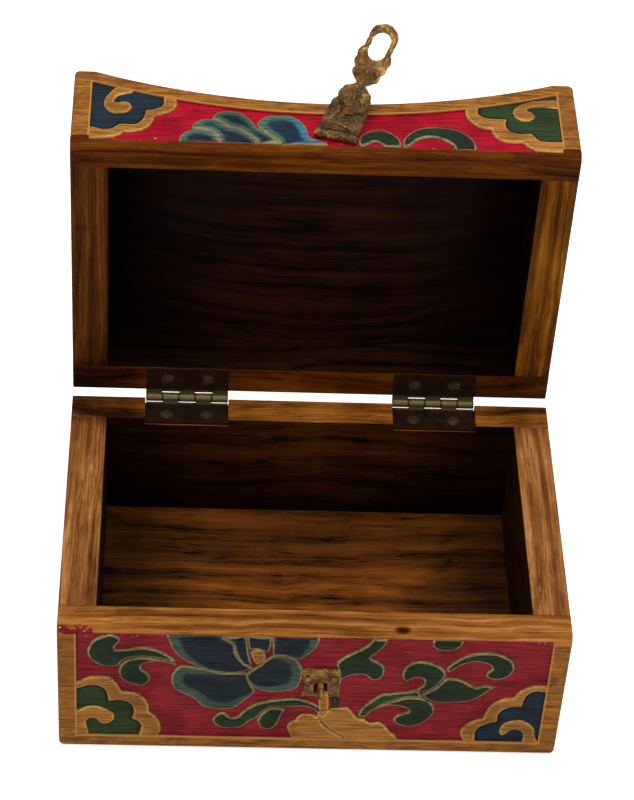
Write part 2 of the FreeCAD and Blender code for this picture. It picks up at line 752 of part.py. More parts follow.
def lobe(first, last):
    """The bend of the lobe between two neighbouring stations, a little over half as wide as it is long."""
    run = f"(dims.tongue_{last}_reach - dims.tongue_{first}_reach)"
    step = f"((dims.tongue_{last} - dims.tongue_{first}) / 2)"
    return (f"dims.tongue_swell * sqrt({run} * {run} + {step} * {step})", -1)


outline = [(f"-{TONGUE_SIDE} * cos({TONGUE_SPIN})", f"{TONGUE_SIDE} * sin({TONGUE_SPIN})")]
for first, last in zip(STATIONS, STATIONS[1:]):
    bend = () if first in STRAIGHT_AFTER else (lobe(first, last),)
    outline.append(station(first, "-") + bend)
outline.append(station("tip", "-") + (("dims.tongue_tip * dims.tongue_swell", -1),))
for first, last in zip(STATIONS[::-1], STATIONS[-2::-1]):
    bend = () if last in STRAIGHT_AFTER else (lobe(last, first),)
    outline.append(station(first, "") + bend)
outline.append(station("hip", ""))
outline.append((f"{TONGUE_SIDE} * cos({TONGUE_SPIN})", f"-{TONGUE_SIDE} * sin({TONGUE_SPIN})"))
tongue_sketch = tongue_layer()
polygon(tongue_sketch, outline)
pad(tongue, tongue_sketch, size("tongue_thickness"))
SLOT_LOW = f"-dims.slot_reach - {SLOT_RUN}"
SLOT_HIGH = f"-dims.slot_reach + {SLOT_RUN}"
slot_sketch = tongue_layer()
rectangle(slot_sketch, "-dims.slot_width / 2", "dims.slot_width / 2", SLOT_LOW, SLOT_HIGH)
cut(tongue, slot_sketch, size("tongue_thickness"), True)
for end in (SLOT_LOW, SLOT_HIGH):
    tongue_cut("0", end, "dims.slot_width / 2")
tongue_cut("0", "-dims.tongue_hole_reach", size("tongue_hole_radius"))
notch = new_sketch(tongue, "XZ_Plane", TONGUE_FACE)
NOTCH_SIDE = f"({HASP_MIDDLE} + dims.knuckle_gap)"
rectangle(notch, f"-{NOTCH_SIDE}", NOTCH_SIDE, f"-{HASP_REACH}", HASP_REACH)
cut(tongue, notch, size("tongue_thickness"), True)
for start in (f"-{TONGUE_SIDE}", NOTCH_SIDE):
    outer_knuckle = new_sketch(tongue, "YZ_Plane", start)
    circle(outer_knuckle, "0", "0", size("hasp_knuckle_radius"))
    pad(tongue, outer_knuckle, f"{TONGUE_SIDE} - {NOTCH_SIDE}")
drill(tongue, "YZ_Plane", f"-{TONGUE_SIDE}", [("0", "0")], HASP_BORE, size("hasp_width"), True)

# Staple and its plate, on the base's carved ground
STAPLE_LEGS = [
    ("dims.hasp_place", f"dims.staple_height {side} dims.staple_spread / 2") for side in ("-", "+")
]
PLATE_MIDDLE = "(dims.staple_height + dims.staple_plate_rise)"
PLATE_LOW = f"({PLATE_MIDDLE} - dims.staple_plate_height / 2)"
PLATE_HIGH = f"({PLATE_MIDDLE} + dims.staple_plate_height / 2)"
RIDGE_SIDE = "(dims.staple_plate_foot / 2)"
STAPLE_NAILS = [
    (f"dims.hasp_place {side} dims.staple_nail_pitch / 2", f"{PLATE_MIDDLE} + dims.staple_nail_rise")
    for side in ("-", "+")
]
staple_plate = new_body("staple_plate", SHUT)
staple_sketch = new_sketch(staple_plate, "XZ_Plane", FIELD_Y)
polygon(staple_sketch, [
    ("dims.hasp_place - dims.staple_plate_foot / 2", PLATE_LOW),
    ("dims.hasp_place + dims.staple_plate_foot / 2", PLATE_LOW, (size("staple_plate_bow"), 1)),
    ("dims.hasp_place + dims.staple_plate_width / 2", PLATE_HIGH),
    ("dims.hasp_place - dims.staple_plate_width / 2", PLATE_HIGH, (size("staple_plate_bow"), 1)),
])
pad(staple_plate, staple_sketch, size("staple_plate_thickness"))
ridges = new_sketch(staple_plate, "XZ_Plane", f"{FIELD_Y} + dims.staple_plate_thickness")
for number in (1, 3):
    ridge_top = f"({PLATE_HIGH} - {number} * dims.staple_ridge_width)"
    rectangle(ridges, f"dims.hasp_place - {RIDGE_SIDE}", f"dims.hasp_place + {RIDGE_SIDE}",
              f"{ridge_top} - dims.staple_ridge_width", ridge_top)
pad(staple_plate, ridges, size("staple_ridge_height"))
drill(staple_plate, "XZ_Plane", FIELD_Y, STAPLE_NAILS, size("hasp_nail_radius"),
      size("staple_plate_thickness"), True)
drill(base_front, "XZ_Plane", FIELD_Y, STAPLE_NAILS, size("hasp_nail_radius"),
      "dims.hasp_nail_length - dims.staple_plate_thickness")
fastener_group("staple_plate_nails", SHUT, make_tack, [
    (x, f"-{FIELD_Y} - dims.staple_plate_thickness", z, FACING_FRONT) for x, z in STAPLE_NAILS
])


def staple_mouth(body):
    """The arched opening that the staple stands in."""
    sketch = new_sketch(body, "XZ_Plane", FIELD_Y)
    side = "dims.staple_mouth_width / 2"
    low = "(dims.staple_height - dims.staple_mouth_height / 2)"
    spring = f"({low} + dims.staple_mouth_height - 0.4 * dims.staple_mouth_width)"
    polygon(sketch, [
        (f"dims.hasp_place - {side}", low),
        (f"dims.hasp_place + {side}", low),
        (f"dims.hasp_place + {side}", spring, ("0.52 * dims.staple_mouth_width", -1)),
        (f"dims.hasp_place - {side}", spring),
    ])
    return sketch


cut(staple_plate, staple_mouth(staple_plate), size("staple_plate_thickness"), True)
cut(base_front, staple_mouth(base_front), size("staple_mouth_depth"))
drill(base_front, "XZ_Plane", FIELD_Y, STAPLE_LEGS, size("staple_wire_radius"), size("staple_depth"))

staple = new_body("staple", STAPLE)
legs = new_sketch(staple, "XZ_Plane")
for side in ("-", ""):
    circle(legs, "0", f"{side}dims.staple_spread / 2", size("staple_wire_radius"))
pad(staple, legs, "dims.staple_standoff + dims.staple_depth", back=True)
arch = new_sketch(staple, "XZ_Plane")
circle(arch, "0", "dims.staple_spread / 2", size("staple_wire_radius"))
bend = staple.newObject("PartDesign::Revolution", "staple_bend")
bend.Profile = arch
bend.ReferenceAxis = (arch, ["H_Axis"])
bend.Angle = 180
doc.recompute()

# Checks, then one file for each sub-part
doc.recompute()
for item in doc.Objects:
    if "Invalid" in item.State or "Error" in item.State:
        raise RuntimeError(f"{item.Label} did not build: {item.State}")
os.makedirs("parts", exist_ok=True)
for node in nodes:
    if node.Shape.isNull() or not node.Shape.isValid():
        raise RuntimeError(f"{node.Label} has no valid shape")
for node in nodes:
    node.Shape.exportStep(f"parts/{node.Label}.step")
    print(f"{node.Label}: {len(node.Shape.Solids)} solid(s), {node.Shape.Volume:.1f} mm3")
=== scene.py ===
# %% [markdown]
# # A carved and painted keepsake box
# The box is a small chest made of boards: a base, a lid on two butt hinges, and a brass hasp.
# The boards and the metalwork come from a CAD model, so their sizes are settled already.
# This lesson adds what a CAD model leaves out: the raised carving, the paint, the stained
# wood, the tarnished metal, the camera and the light.

# %% Load the frame
import math

import bmesh
import bpy
import numpy as np
from mathutils import Matrix, Vector
from mathutils.geometry import delaunay_2d_cdt


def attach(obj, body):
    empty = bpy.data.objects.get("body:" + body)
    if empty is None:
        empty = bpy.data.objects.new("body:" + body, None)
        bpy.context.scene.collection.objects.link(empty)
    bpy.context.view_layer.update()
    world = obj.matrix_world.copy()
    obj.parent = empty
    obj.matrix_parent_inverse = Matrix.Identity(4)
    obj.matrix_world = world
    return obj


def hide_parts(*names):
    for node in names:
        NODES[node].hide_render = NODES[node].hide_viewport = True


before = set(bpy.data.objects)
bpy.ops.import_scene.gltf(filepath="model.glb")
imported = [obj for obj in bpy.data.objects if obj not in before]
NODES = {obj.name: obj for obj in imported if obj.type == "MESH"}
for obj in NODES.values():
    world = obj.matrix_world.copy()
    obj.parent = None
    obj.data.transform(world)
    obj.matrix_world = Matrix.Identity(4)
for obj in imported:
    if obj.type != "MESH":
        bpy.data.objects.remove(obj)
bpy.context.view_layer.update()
MM = 0.001


def new_object(name, data):
    made = bpy.data.objects.new(name, data)
    bpy.context.scene.collection.objects.link(made)
    return made


# %% [markdown]
# ## One frame for the open lid
# The lid stands open by 89.3 degrees, but its carving is easier to draw on the shut box, where
# the ornament runs on from the base to the lid. So everything on the lid is drawn shut and then
# swung back about the line of the hinge pins. One matrix does that for meshes, and a node
# group undoes it for textures.

# %% The swing of the lid
OPEN = math.radians(89.3)
PIN_LINE = Vector((0, 49.5, 48.8)) * MM
SWING = Matrix.Translation(PIN_LINE) @ Matrix.Rotation(-OPEN, 4, "X") @ Matrix.Translation(-PIN_LINE)
print("lid front edge swings to", [round(v / MM, 1) for v in SWING @ Vector((0, -48 * MM, 50.2 * MM))])

# %% [markdown]
# ## Camera
# The picture was taken with a long lens from above the front, held a little crooked. The camera
# is placed by its direction from the box, and then rolled about its own line of sight.

# %% Camera
ELEVATION, YAW, ROLL = math.radians(43.004), math.radians(-3.866), math.radians(4.08)
TARGET = Vector((-1.227, 0, 95.293)) * MM
DISTANCE, LENS, SENSOR = 0.7567, 120.99, 36
back = Vector((math.sin(YAW), -math.cos(YAW), 0)) * math.cos(ELEVATION)
back.z = math.sin(ELEVATION)
right = (-back).cross(Vector((0, 0, 1))).normalized()
up = right.cross(-back)
right, up = (right * math.cos(ROLL) + up * math.sin(ROLL), up * math.cos(ROLL) - right * math.sin(ROLL))

camera = new_object("camera", bpy.data.cameras.new("camera"))
camera.data.lens, camera.data.sensor_width = LENS, SENSOR
camera.data.clip_start, camera.data.clip_end = 0.05, 20
turned = Matrix((right, up, back)).transposed().to_4x4()
camera.matrix_world = Matrix.Translation(TARGET + back * DISTANCE) @ turned
bpy.context.scene.camera = camera
print("camera at", [round(v, 3) for v in camera.matrix_world.translation])

# %% [markdown]
# ## Helpers for shader nodes
# Writing node trees by hand soon gets long, so a few small functions add a node, set its sockets
# and give back what comes out of it. Colours are given as the eye reads them on a screen, from
# 0 to 255, and turned into the linear values that the renderer works with.


# %% Node helpers
def rgb(r, g, b):
    """A screen colour as a linear RGBA tuple."""
    def linear(v):
        v /= 255
        return v / 12.92 if v <= 0.04045 else ((v + 0.055) / 1.055) ** 2.4
    return (linear(r), linear(g), linear(b), 1.0)


def plug(tree, node, inputs):
    """Sets a node's inputs; each is a value, or the output socket that feeds it."""
    for key, value in dict(inputs).items():
        if isinstance(value, bpy.types.NodeSocket):
            tree.links.new(value, node.inputs[key])
        else:
            node.inputs[key].default_value = value


def add(tree, kind, inputs=(), **props):
    """A new node with its properties and inputs set."""
    node = tree.nodes.new("ShaderNode" + kind)
    for key, value in props.items():
        setattr(node, key, value)
    plug(tree, node, inputs)
    return node


def calc(tree, op, a, b=0.0, c=0.0):
    return add(tree, "Math", {0: a, 1: b, 2: c}, operation=op).outputs[0]


def muladd(tree, a, b, c):
    """a times b, plus c."""
    return calc(tree, "MULTIPLY_ADD", a, b, c)


def times(tree, first, *others):
    for other in others:
        first = calc(tree, "MULTIPLY", first, other)
    return first


def most(tree, first, *others):
    for other in others:
        first = calc(tree, "MAXIMUM", first, other)
    return first


def step(tree, value, low, high):
    """0 below low, 1 above high, smooth between; low may be the larger one."""
    if low > high:
        return calc(tree, "SUBTRACT", 1.0, step(tree, value, high, low))
    spot = {0: value, 1: low, 2: high}
    return add(tree, "MapRange", spot, interpolation_type="SMOOTHSTEP").outputs[0]


def rise(tree, value, at, soft):
    """A narrow step up at one place, or a step down where soft is negative."""
    return step(tree, value, at - soft, at + soft)


def xyz(tree, point):
    return add(tree, "SeparateXYZ", {0: point}).outputs


def here(tree):
    """The shaded point in the frame of the part, in metres."""
    return add(tree, "TexCoord").outputs["Object"]


def in_mm(tree, point):
    return add(tree, "VectorMath", {0: point, "Scale": 1000.0}, operation="SCALE").outputs[0]


def length(tree, vector):
    return add(tree, "VectorMath", {0: vector}, operation="LENGTH").outputs["Value"]


def vec(tree, op, a, b=(0, 0, 0)):
    return add(tree, "VectorMath", {0: a, 1: b}, operation=op).outputs[0]


def noise(tree, point, scale, detail=2.0, rough=0.5, warp=0.0):
    return add(tree, "TexNoise", {"Vector": point, "Scale": scale, "Detail": detail, "Roughness": rough,
                                  "Distortion": warp}).outputs[0]


def mix(tree, share, a, b, blend="MIX"):
    return add(tree, "Mix", {0: share, 6: a, 7: b}, data_type="RGBA", blend_type=blend).outputs[2]


def ramp(tree, value, stops):
    node = add(tree, "ValToRGB", {0: value})
    points = node.color_ramp.elements
    while len(points) < len(stops):
        points.new(0.5)
    for point, (place, colour) in zip(points, stops):
        point.position, point.color = place, colour
    return node.outputs[0]


def group(name, ins, outs):
    """An empty node group with the sockets named; gives the tree, its input node and its output node."""
    tree = bpy.data.node_groups.new(name, "ShaderNodeTree")
    for direction, sockets in (("INPUT", ins), ("OUTPUT", outs)):
        for label, kind in sockets.items():
            tree.interface.new_socket(label, in_out=direction, socket_type="NodeSocket" + kind)
    return tree, tree.nodes.new("NodeGroupInput"), tree.nodes.new("NodeGroupOutput")


def use(tree, shared, inputs=()):
    """A shared group placed in a tree; gives its outputs."""
    node = tree.nodes.new("ShaderNodeGroup")
    node.node_tree = shared
    plug(tree, node, inputs)
    return node.outputs


def give(tree, out, **values):
    for label, value in values.items():
        tree.links.new(value, out.inputs[label])


def new_material(name):
    made = bpy.data.materials.new(name)
    made.use_nodes = True
    return made, made.node_tree, made.node_tree.nodes["Principled BSDF"]


BUMP_DEPTH = 0.0004


def surface(tree, shader, colour, rough, height, bump, gloss):
    """Feeds a shader with colour, roughness and bump, and sets its specular level."""
    bumps = add(tree, "Bump", {"Height": height, "Strength": bump, "Distance": BUMP_DEPTH}).outputs[0]
    plug(tree, shader, {"Base Color": colour, "Roughness": rough, "Normal": bumps})
    shader.inputs["Specular IOR Level"].default_value = gloss


print("helpers ready")

# %% [markdown]
# ## Places on the box
# The paint follows the joinery: the borders are ochre, the sunk fields are red, the bevelled rims
# are bare stained wood and the inside is dark. All of these can be told from a point's place
# on the shut box, in millimetres, so two shared groups turn a point into that place and that
# place into masks. Nothing depends on the camera or on how the lid stands.

# %% Shared groups for places
SPLIT = 50.1  # height of the joint between base and lid
ARC_MIDDLE = 261.3  # height of the line about which the lid's top is hollowed
# Where the sunk fields end and the borders begin, both edges of the pale lines, the space inside
# the boards, and the bevels, given as depth plus distance from the joint.
FRONT_FIELD, END_FIELD, TOP_FIELD, TOP_RIDGE = 47.6, 72.1, 190.7, 82.1
LINE_SIDE, LINE_FOOT, LINE_HEAD = (67.1, 67.675), (4.4, 5.1), (195.0, 195.7)
HOLLOW_X, HOLLOW_Y, HOLLOW_FLOOR, HOLLOW_TOP = 61.9, 38.6, 5.25, 195.75
BEVEL = 95.45

shut, gin, gout = group("Shut place", {"Point": "Vector", "Lid": "Float"}, {"Place": "Vector"})
angle = times(shut, gin.outputs["Lid"], OPEN)
swing = {"Vector": gin.outputs["Point"], "Center": PIN_LINE, "Angle": angle}
give(shut, gout, Place=in_mm(shut, add(shut, "VectorRotate", swing, rotation_type="X_AXIS").outputs[0]))

MASKS = ("Border", "Bare", "Inside", "Line", "Rim", "Corner", "Rubbed", "Nook")
zones, gin, gout = group("Box zones", {"Place": "Vector"}, dict.fromkeys(MASKS, "Float"))
place = gin.outputs["Place"]
x, y, z = xyz(zones, place)
ax, ay = calc(zones, "ABSOLUTE", x), calc(zones, "ABSOLUTE", y)
split = calc(zones, "ABSOLUTE", calc(zones, "SUBTRACT", z, SPLIT))
over = calc(zones, "SUBTRACT", z, ARC_MIDDLE)
arc = calc(zones, "SQRT", muladd(zones, over, over, times(zones, x, x)))
border = most(zones, rise(zones, ay, FRONT_FIELD, 0.05), rise(zones, ax, END_FIELD, 0.05),
              rise(zones, arc, TOP_FIELD, -0.05), rise(zones, z, TOP_RIDGE, 0.1))
# A pale line runs on the border's face along the edge of the field.
face = most(zones, rise(zones, ax, LINE_SIDE[1], -0.075), rise(zones, ay, FRONT_FIELD - 0.2, -0.1))
side = times(zones, rise(zones, ax, LINE_SIDE[0], 0.1), rise(zones, ax, LINE_SIDE[0] + 1, -0.1),
             rise(zones, z, LINE_FOOT[0] - 0.05, 0.15), rise(zones, arc, LINE_HEAD[0], 0.1))
foot = times(zones, rise(zones, z, LINE_FOOT[0], 0.1), rise(zones, z, LINE_FOOT[1], -0.1))
head = times(zones, rise(zones, arc, LINE_HEAD[0], 0.1), rise(zones, arc, LINE_HEAD[1], -0.1))
line = times(zones, face, most(zones, side, foot, head))
# The bevels are bare, with a wavering edge. At one end of the base's bevel the brush ran over.
slip = times(zones, step(zones, x, -59.0, -66.0), step(zones, y, -30.0, -40.0),
             rise(zones, z, SPLIT - 0.05, -0.05), step(zones, noise(zones, place, 0.22, 3), 0.42, 0.62))
waver = muladd(zones, noise(zones, place, 0.35, 3), 0.5, -0.25)
bevel = calc(zones, "ADD", calc(zones, "ADD", ay, calc(zones, "SUBTRACT", SPLIT, split)), waver)
bevel = muladd(zones, slip, -1.3, bevel)
bare = most(zones, rise(zones, bevel, BEVEL, 0.1), rise(zones, split, 0.325, -0.075),
            rise(zones, z, 0.2, -0.1))
hollow = times(zones, rise(zones, ax, HOLLOW_X, -0.05), rise(zones, ay, HOLLOW_Y, -0.05),
               rise(zones, z, HOLLOW_FLOOR, 0.25), rise(zones, arc, HOLLOW_TOP, 0.25))
# Old stain gathers on the back rims, most at one end; hands have rubbed the ends of the front rim.
corner = muladd(zones, step(zones, x, 50.0, 66.0), 0.4, step(zones, x, -44.0, -58.0))
corner = times(zones, corner, step(zones, y, 34.0, 42.0))
rubbed = times(zones, step(zones, ax, 22.0, 48.0), step(zones, y, -38.0, -42.0))
# A mask for painted shade inside, towards the ends and at the back of the floor.
rear_shade = times(zones, step(zones, y, -12.0, 26.0), step(zones, z, 16.0, 13.0), 0.8)
nook_shade = most(zones, step(zones, ax, 12.0, 52.0), rear_shade)
give(zones, gout, Border=border, Bare=bare, Inside=hollow, Line=line, Rim=step(zones, split, 5.5, 1.5),
     Corner=corner, Rubbed=rubbed, Nook=nook_shade)
print("place groups:", shut.name, "and", zones.name)

# %% [markdown]
# ## Stained pine
# The boards are softwood with a dark walnut stain rubbed on. Stain soaks into the soft pale wood
# and the pores, so the grain shows as golden lines between dark streaks. The group stretches
# noise along the board, which is always its first coordinate, lets the grain sway a little,
# and adds growth rings, thin dark pores and blotches where the rag left more stain.

# %% Wood group
wood, gin, gout = group("Stained wood", {"Place": "Vector"},
                        {"Tone": "Float", "Height": "Float", "Fine": "Float"})
place = gin.outputs["Place"]
sway = noise(wood, vec(wood, "MULTIPLY", place, (0.018, 0.05, 0.05)), 1.0, 2)
sway = times(wood, sway, 6.0)
bent = vec(wood, "ADD", place, add(wood, "CombineXYZ", {1: sway, 2: sway}).outputs[0])
grain = noise(wood, vec(wood, "MULTIPLY", bent, (0.012, 1.0, 1.0)), 0.7, 5, 0.66)
fine = noise(wood, vec(wood, "MULTIPLY", bent, (0.022, 1.0, 1.0)), 3.0, 3, 0.65)
pores = step(wood, noise(wood, vec(wood, "MULTIPLY", bent, (0.03, 1.0, 1.0)), 2.4, 2), 0.40, 0.32)
rings = add(wood, "TexWave", {"Vector": vec(wood, "MULTIPLY", bent, (0.02, 1.0, 1.0)), "Scale": 0.13,
                              "Distortion": 4.0, "Detail": 2.0, "Detail Scale": 0.8},
            bands_direction="DIAGONAL", wave_profile="SIN").outputs[1]
blotch = noise(wood, vec(wood, "MULTIPLY", place, (0.4, 1.0, 1.0)), 0.075, 4, 0.62)
tone = muladd(wood, grain, 0.85, times(wood, blotch, 0.85))
tone = muladd(wood, calc(wood, "SUBTRACT", rings, 0.5), 0.15, tone)
tone = muladd(wood, fine, 0.55, tone)
tone = muladd(wood, pores, -0.14, tone)
tone = add(wood, "MapRange", {0: tone, 1: 0.75, 2: 1.48}).outputs[0]
height = muladd(wood, fine, 0.6, times(wood, grain, 0.5))
give(wood, gout, Tone=tone, Height=height, Fine=fine)
print("wood group has", len(wood.nodes), "nodes")

# %% [markdown]
# ## Brushed paint
# The paint is thin and was laid on with a stiff brush in long strokes. Each stroke leaves fine
# ridges, thin places let the wood darken the colour, and dirt settles unevenly. The group
# takes any colour and gives back that colour with strokes, plus a height for bump.

# %% Paint group
paint, gin, gout = group("Brushed paint", {"Place": "Vector", "Colour": "Color", "Wear": "Float"},
                         {"Colour": "Color", "Height": "Float", "Rough": "Float"})
place = gin.outputs["Place"]
stroke = noise(paint, vec(paint, "MULTIPLY", place, (0.05, 0.9, 1.0)), 2.0, 4, 0.62, 0.2)
cloud = noise(paint, place, 0.09, 3, 0.5)
speck = noise(paint, place, 1.9, 2, 0.5)
dark = mix(paint, 1.0, gin.outputs["Colour"], rgb(146, 134, 128), "MULTIPLY")
light = mix(paint, 1.0, gin.outputs["Colour"], (1.45, 1.5, 1.45, 1), "MULTIPLY")
colour = mix(paint, step(paint, stroke, 0.30, 0.56), dark, gin.outputs["Colour"])
colour = mix(paint, times(paint, step(paint, stroke, 0.52, 0.72), 0.85), colour, light)
colour = mix(paint, times(paint, step(paint, cloud, 0.46, 0.68), 0.42), colour, dark)
worn = times(paint, step(paint, speck, 0.69, 0.75), gin.outputs["Wear"])
colour = mix(paint, worn, colour, rgb(96, 62, 36))
give(paint, gout, Colour=colour, Height=muladd(paint, speck, 0.2, stroke),
     Rough=muladd(paint, stroke, 0.25, 0.42))
print("paint group has", len(paint.nodes), "nodes")

# %% [markdown]
# ## Board materials
# One recipe makes the material of every board. It looks up the place on the shut box, turns the
# grain along the board, and lays the layers over each other: stained wood, the dark inside,
# the red field, the ochre border with its pale edge line, and chips near the rim.

# %% Board materials
# One red paint in two copies: the base's darker red is painted shade on the base front, and the lid's
# brighter red is painted light on the lid front, which faces up.
SHADED_RED, LIT_LID_RED = rgb(130, 34, 41), rgb(160, 15, 37)
OCHRE, PALE = rgb(148, 94, 38), rgb(184, 138, 74)
BARE_WOOD = [(0.0, rgb(36, 15, 3)), (0.38, rgb(108, 60, 16)), (0.66, rgb(152, 94, 32)),
             (1.0, rgb(202, 140, 68))]
# Stains that the bare wood is multiplied by. The lid's are darker, as painted shade on the lid's rims,
# which stand upright when it is open; its left end is darker than its right.
CLEAN, FRONT, GREYED = (1, 1, 1, 1), (0.74, 0.70, 0.78, 1), (0.90, 0.97, 1.8, 1)
LID_SHADE, LID_SHADE_LEFT, LID_SHADE_RIGHT = (0.40, 0.29, 0.10, 1), (0.31, 0.25, 0.17, 1), (0.60, 0.55, 0.24, 1)
# Inside, the wood is much darker than outside: painted shade over the grain.
UNLIT = (rgb(3, 1, 1), rgb(52, 22, 11))  # the darkest and lightest wood inside
KNOT = (24.6, -45.2, 50.0)


def board_material(name, lid=0.0, across=False, painted=True, stain=CLEAN, inside=UNLIT, low_shade=0.0,
                   spread=(1, 1, 1)):
    made, tree, shader = new_material(name)
    place = use(tree, shut, {"Point": here(tree), "Lid": lid})["Place"]
    masks = use(tree, zones, {"Place": place})
    x, y, z = xyz(tree, place)
    along = add(tree, "CombineXYZ", {0: y, 1: x, 2: z}).outputs[0] if across else place
    # No two boards are cut from the same spot of the plank.
    cut = (37.0 * len(name), 11.0 * len(name), 5.0 * lid)
    grain = use(tree, wood, {"Place": vec(tree, "ADD", vec(tree, "MULTIPLY", along, spread), cut)})
    # A small knot sits in the bevel of the base's front board.
    far = length(tree, vec(tree, "MULTIPLY", vec(tree, "SUBTRACT", place, KNOT), (0.55, 1.0, 1.0)))
    tone = muladd(tree, step(tree, far, 1.7, 0.5), -0.7 * (1 - lid), grain["Tone"])
    tone = muladd(tree, masks["Corner"], -0.5, tone)
    tone = muladd(tree, masks["Rubbed"], 0.22 * (1 - lid), tone)
    bare = mix(tree, 1.0, ramp(tree, tone, BARE_WOOD), stain, "MULTIPLY")
    # Inside, the wood is dark with painted shade, deepest low in the box and in its nooks.
    dark = ramp(tree, grain["Tone"], [(0.2, inside[0]), (1.0, inside[1])])
    dark = mix(tree, times(tree, step(tree, z, 40.0, 14.0), low_shade), dark, inside[0])
    dark = mix(tree, times(tree, masks["Nook"], 0.8), dark, inside[0])
    colour = mix(tree, masks["Inside"], bare, dark)
    height, rough = grain["Height"], muladd(tree, grain["Fine"], 0.3, 0.40)
    if painted:
        red = use(tree, paint, {"Place": along, "Colour": LIT_LID_RED if lid else SHADED_RED, "Wear": 0.25})
        gold = use(tree, paint, {"Place": along, "Colour": OCHRE, "Wear": 0.7})
        # Dirt lies on the border in soft patches, and the pale line along its inner edge is thin.
        dirt = times(tree, step(tree, noise(tree, place, 0.3, 4, 0.6), 0.46, 0.72), 0.6)
        seen = mix(tree, dirt, gold["Colour"], rgb(86, 52, 22))
        seen = mix(tree, times(tree, masks["Line"], 0.6), seen, PALE)
        coat = mix(tree, masks["Border"], red["Colour"], seen)
        chip = times(tree, step(tree, noise(tree, place, 0.9, 3, 0.6), 0.68, 0.72), masks["Rim"])
        coat = mix(tree, chip, coat, rgb(190, 166, 132))
        cover = calc(tree, "SUBTRACT", 1.0, most(tree, masks["Bare"], masks["Inside"]))
        colour = mix(tree, cover, colour, coat)
        height = add(tree, "Mix", {0: cover, 2: height, 3: red["Height"]}).outputs[0]
        rough = add(tree, "Mix", {0: cover, 2: rough, 3: red["Rough"]}).outputs[0]
    surface(tree, shader, colour, rough, height, bump=0.35, gloss=0.035)
    return made


def dress(made, *names):
    """Every material slot of these CAD nodes shows this material."""
    for name in names:
        for slot in NODES[name].material_slots:
            slot.link = "OBJECT"
            slot.material = made


# The inside colours of the floor, back and end boards; their dark ends are painted shade.
FLOOR = (rgb(6, 2, 1), rgb(166, 93, 30))
BACK = (rgb(4, 1, 1), rgb(88, 45, 13))
ENDS = (rgb(10, 4, 2), rgb(116, 64, 22))
LID_BACK = (rgb(2, 1, 1), rgb(54, 28, 9))
WIDE, STRAIGHT = (1, 0.5, 0.5), (1, 0.6, 0)  # how the grain is spread along, across and through a board
BASE_BOARDS = {
    "base front boards": (dict(stain=FRONT), "base_front_panel"),
    "base end boards": (dict(across=True, stain=GREYED, inside=ENDS), "base_left_end", "base_right_end"),
    "base back board": (dict(painted=False, inside=BACK, low_shade=0.8, spread=WIDE), "base_back_panel"),
    "floor board": (dict(painted=False, inside=FLOOR, spread=WIDE), "base_floor_board"),
}
LID_BOARDS = {
    "lid front board": (dict(stain=LID_SHADE), "lid_front_panel"),
    "lid left end": (dict(across=True, stain=LID_SHADE_LEFT), "lid_left_end"),
    "lid right end": (dict(across=True, stain=LID_SHADE_RIGHT), "lid_right_end"),
    "lid top": (dict(stain=LID_SHADE, spread=STRAIGHT), "lid_top_board"),
    "lid back": (dict(painted=False, stain=LID_SHADE, inside=LID_BACK, spread=WIDE), "lid_back_panel"),
}
for lid, boards in ((0.0, BASE_BOARDS), (1.0, LID_BOARDS)):
    for name, (finish, *panels) in boards.items():
        dress(board_material(name, lid, **finish), *panels)
print("board materials:", len([m for m in bpy.data.materials if m.users]))

# %% [markdown]
# ## Metal
# The hinges are plain stamped steel with a dark bronze finish, and the hasp is cast brass that has
# gone brown, with bright metal where fingers rub it. Tarnish gathers in the hollows, so noise at
# two sizes drives the colour and the roughness, and the same noise pits the surface. The hinge
# barrels get a painted highlight, with dirt in the seams between their knuckles.

# %% Metals
HINGE_X, KNUCKLE, BARREL = 0.0377, 0.005, 0.0025
TONGUE_ROOT = (0.158, 0.151)

tarnish, gin, gout = group("Tarnish", {"Point": "Vector"}, {"Brown": "Float", "Pits": "Float"})
point = in_mm(tarnish, gin.outputs["Point"])
large, small = noise(tarnish, point, 0.30, 3, 0.55, 0.4), noise(tarnish, point, 1.5, 3, 0.55)
brown = muladd(tarnish, small, 0.35, times(tarnish, large, 0.75))
give(tarnish, gout, Brown=brown, Pits=muladd(tarnish, large, 0.6, small))


def metal(name, stops, rough, shine, pits, barrel_highlight=None, root=None):
    made, tree, shader = new_material(name)
    point = here(tree)
    x, _, z = xyz(tree, point)
    masks = use(tree, tarnish, {"Point": point})
    edge = add(tree, "NewGeometry").outputs["Pointiness"]
    worn = muladd(tree, step(tree, edge, 0.50, 0.56), 0.22, masks["Brown"])
    if root:
        # The tongue is made darker towards the pin.
        worn = muladd(tree, step(tree, z, *root), -0.12, worn)
    colour = ramp(tree, worn, stops)
    if barrel_highlight:
        # Painted highlight: the barrel is made brighter than the leaves.
        far = length(tree, vec(tree, "MULTIPLY", vec(tree, "SUBTRACT", point, PIN_LINE), (0, 1, 1)))
        round_pin = rise(tree, far, BARREL, -0.0002)
        colour = mix(tree, times(tree, round_pin, 0.7), colour, barrel_highlight)
        # Dirt fills the seams between the knuckles.
        start = calc(tree, "SUBTRACT", calc(tree, "ABSOLUTE", x), HINGE_X - KNUCKLE / 2)
        seam = step(tree, calc(tree, "PINGPONG", start, KNUCKLE / 2), 0.0005, 0.0001)
        colour = mix(tree, times(tree, seam, round_pin), colour, stops[0][1])
    rough = muladd(tree, masks["Brown"], -0.35, rough)
    surface(tree, shader, colour, rough, masks["Pits"], bump=pits, gloss=0.2)
    shader.inputs["Metallic"].default_value = shine
    return made


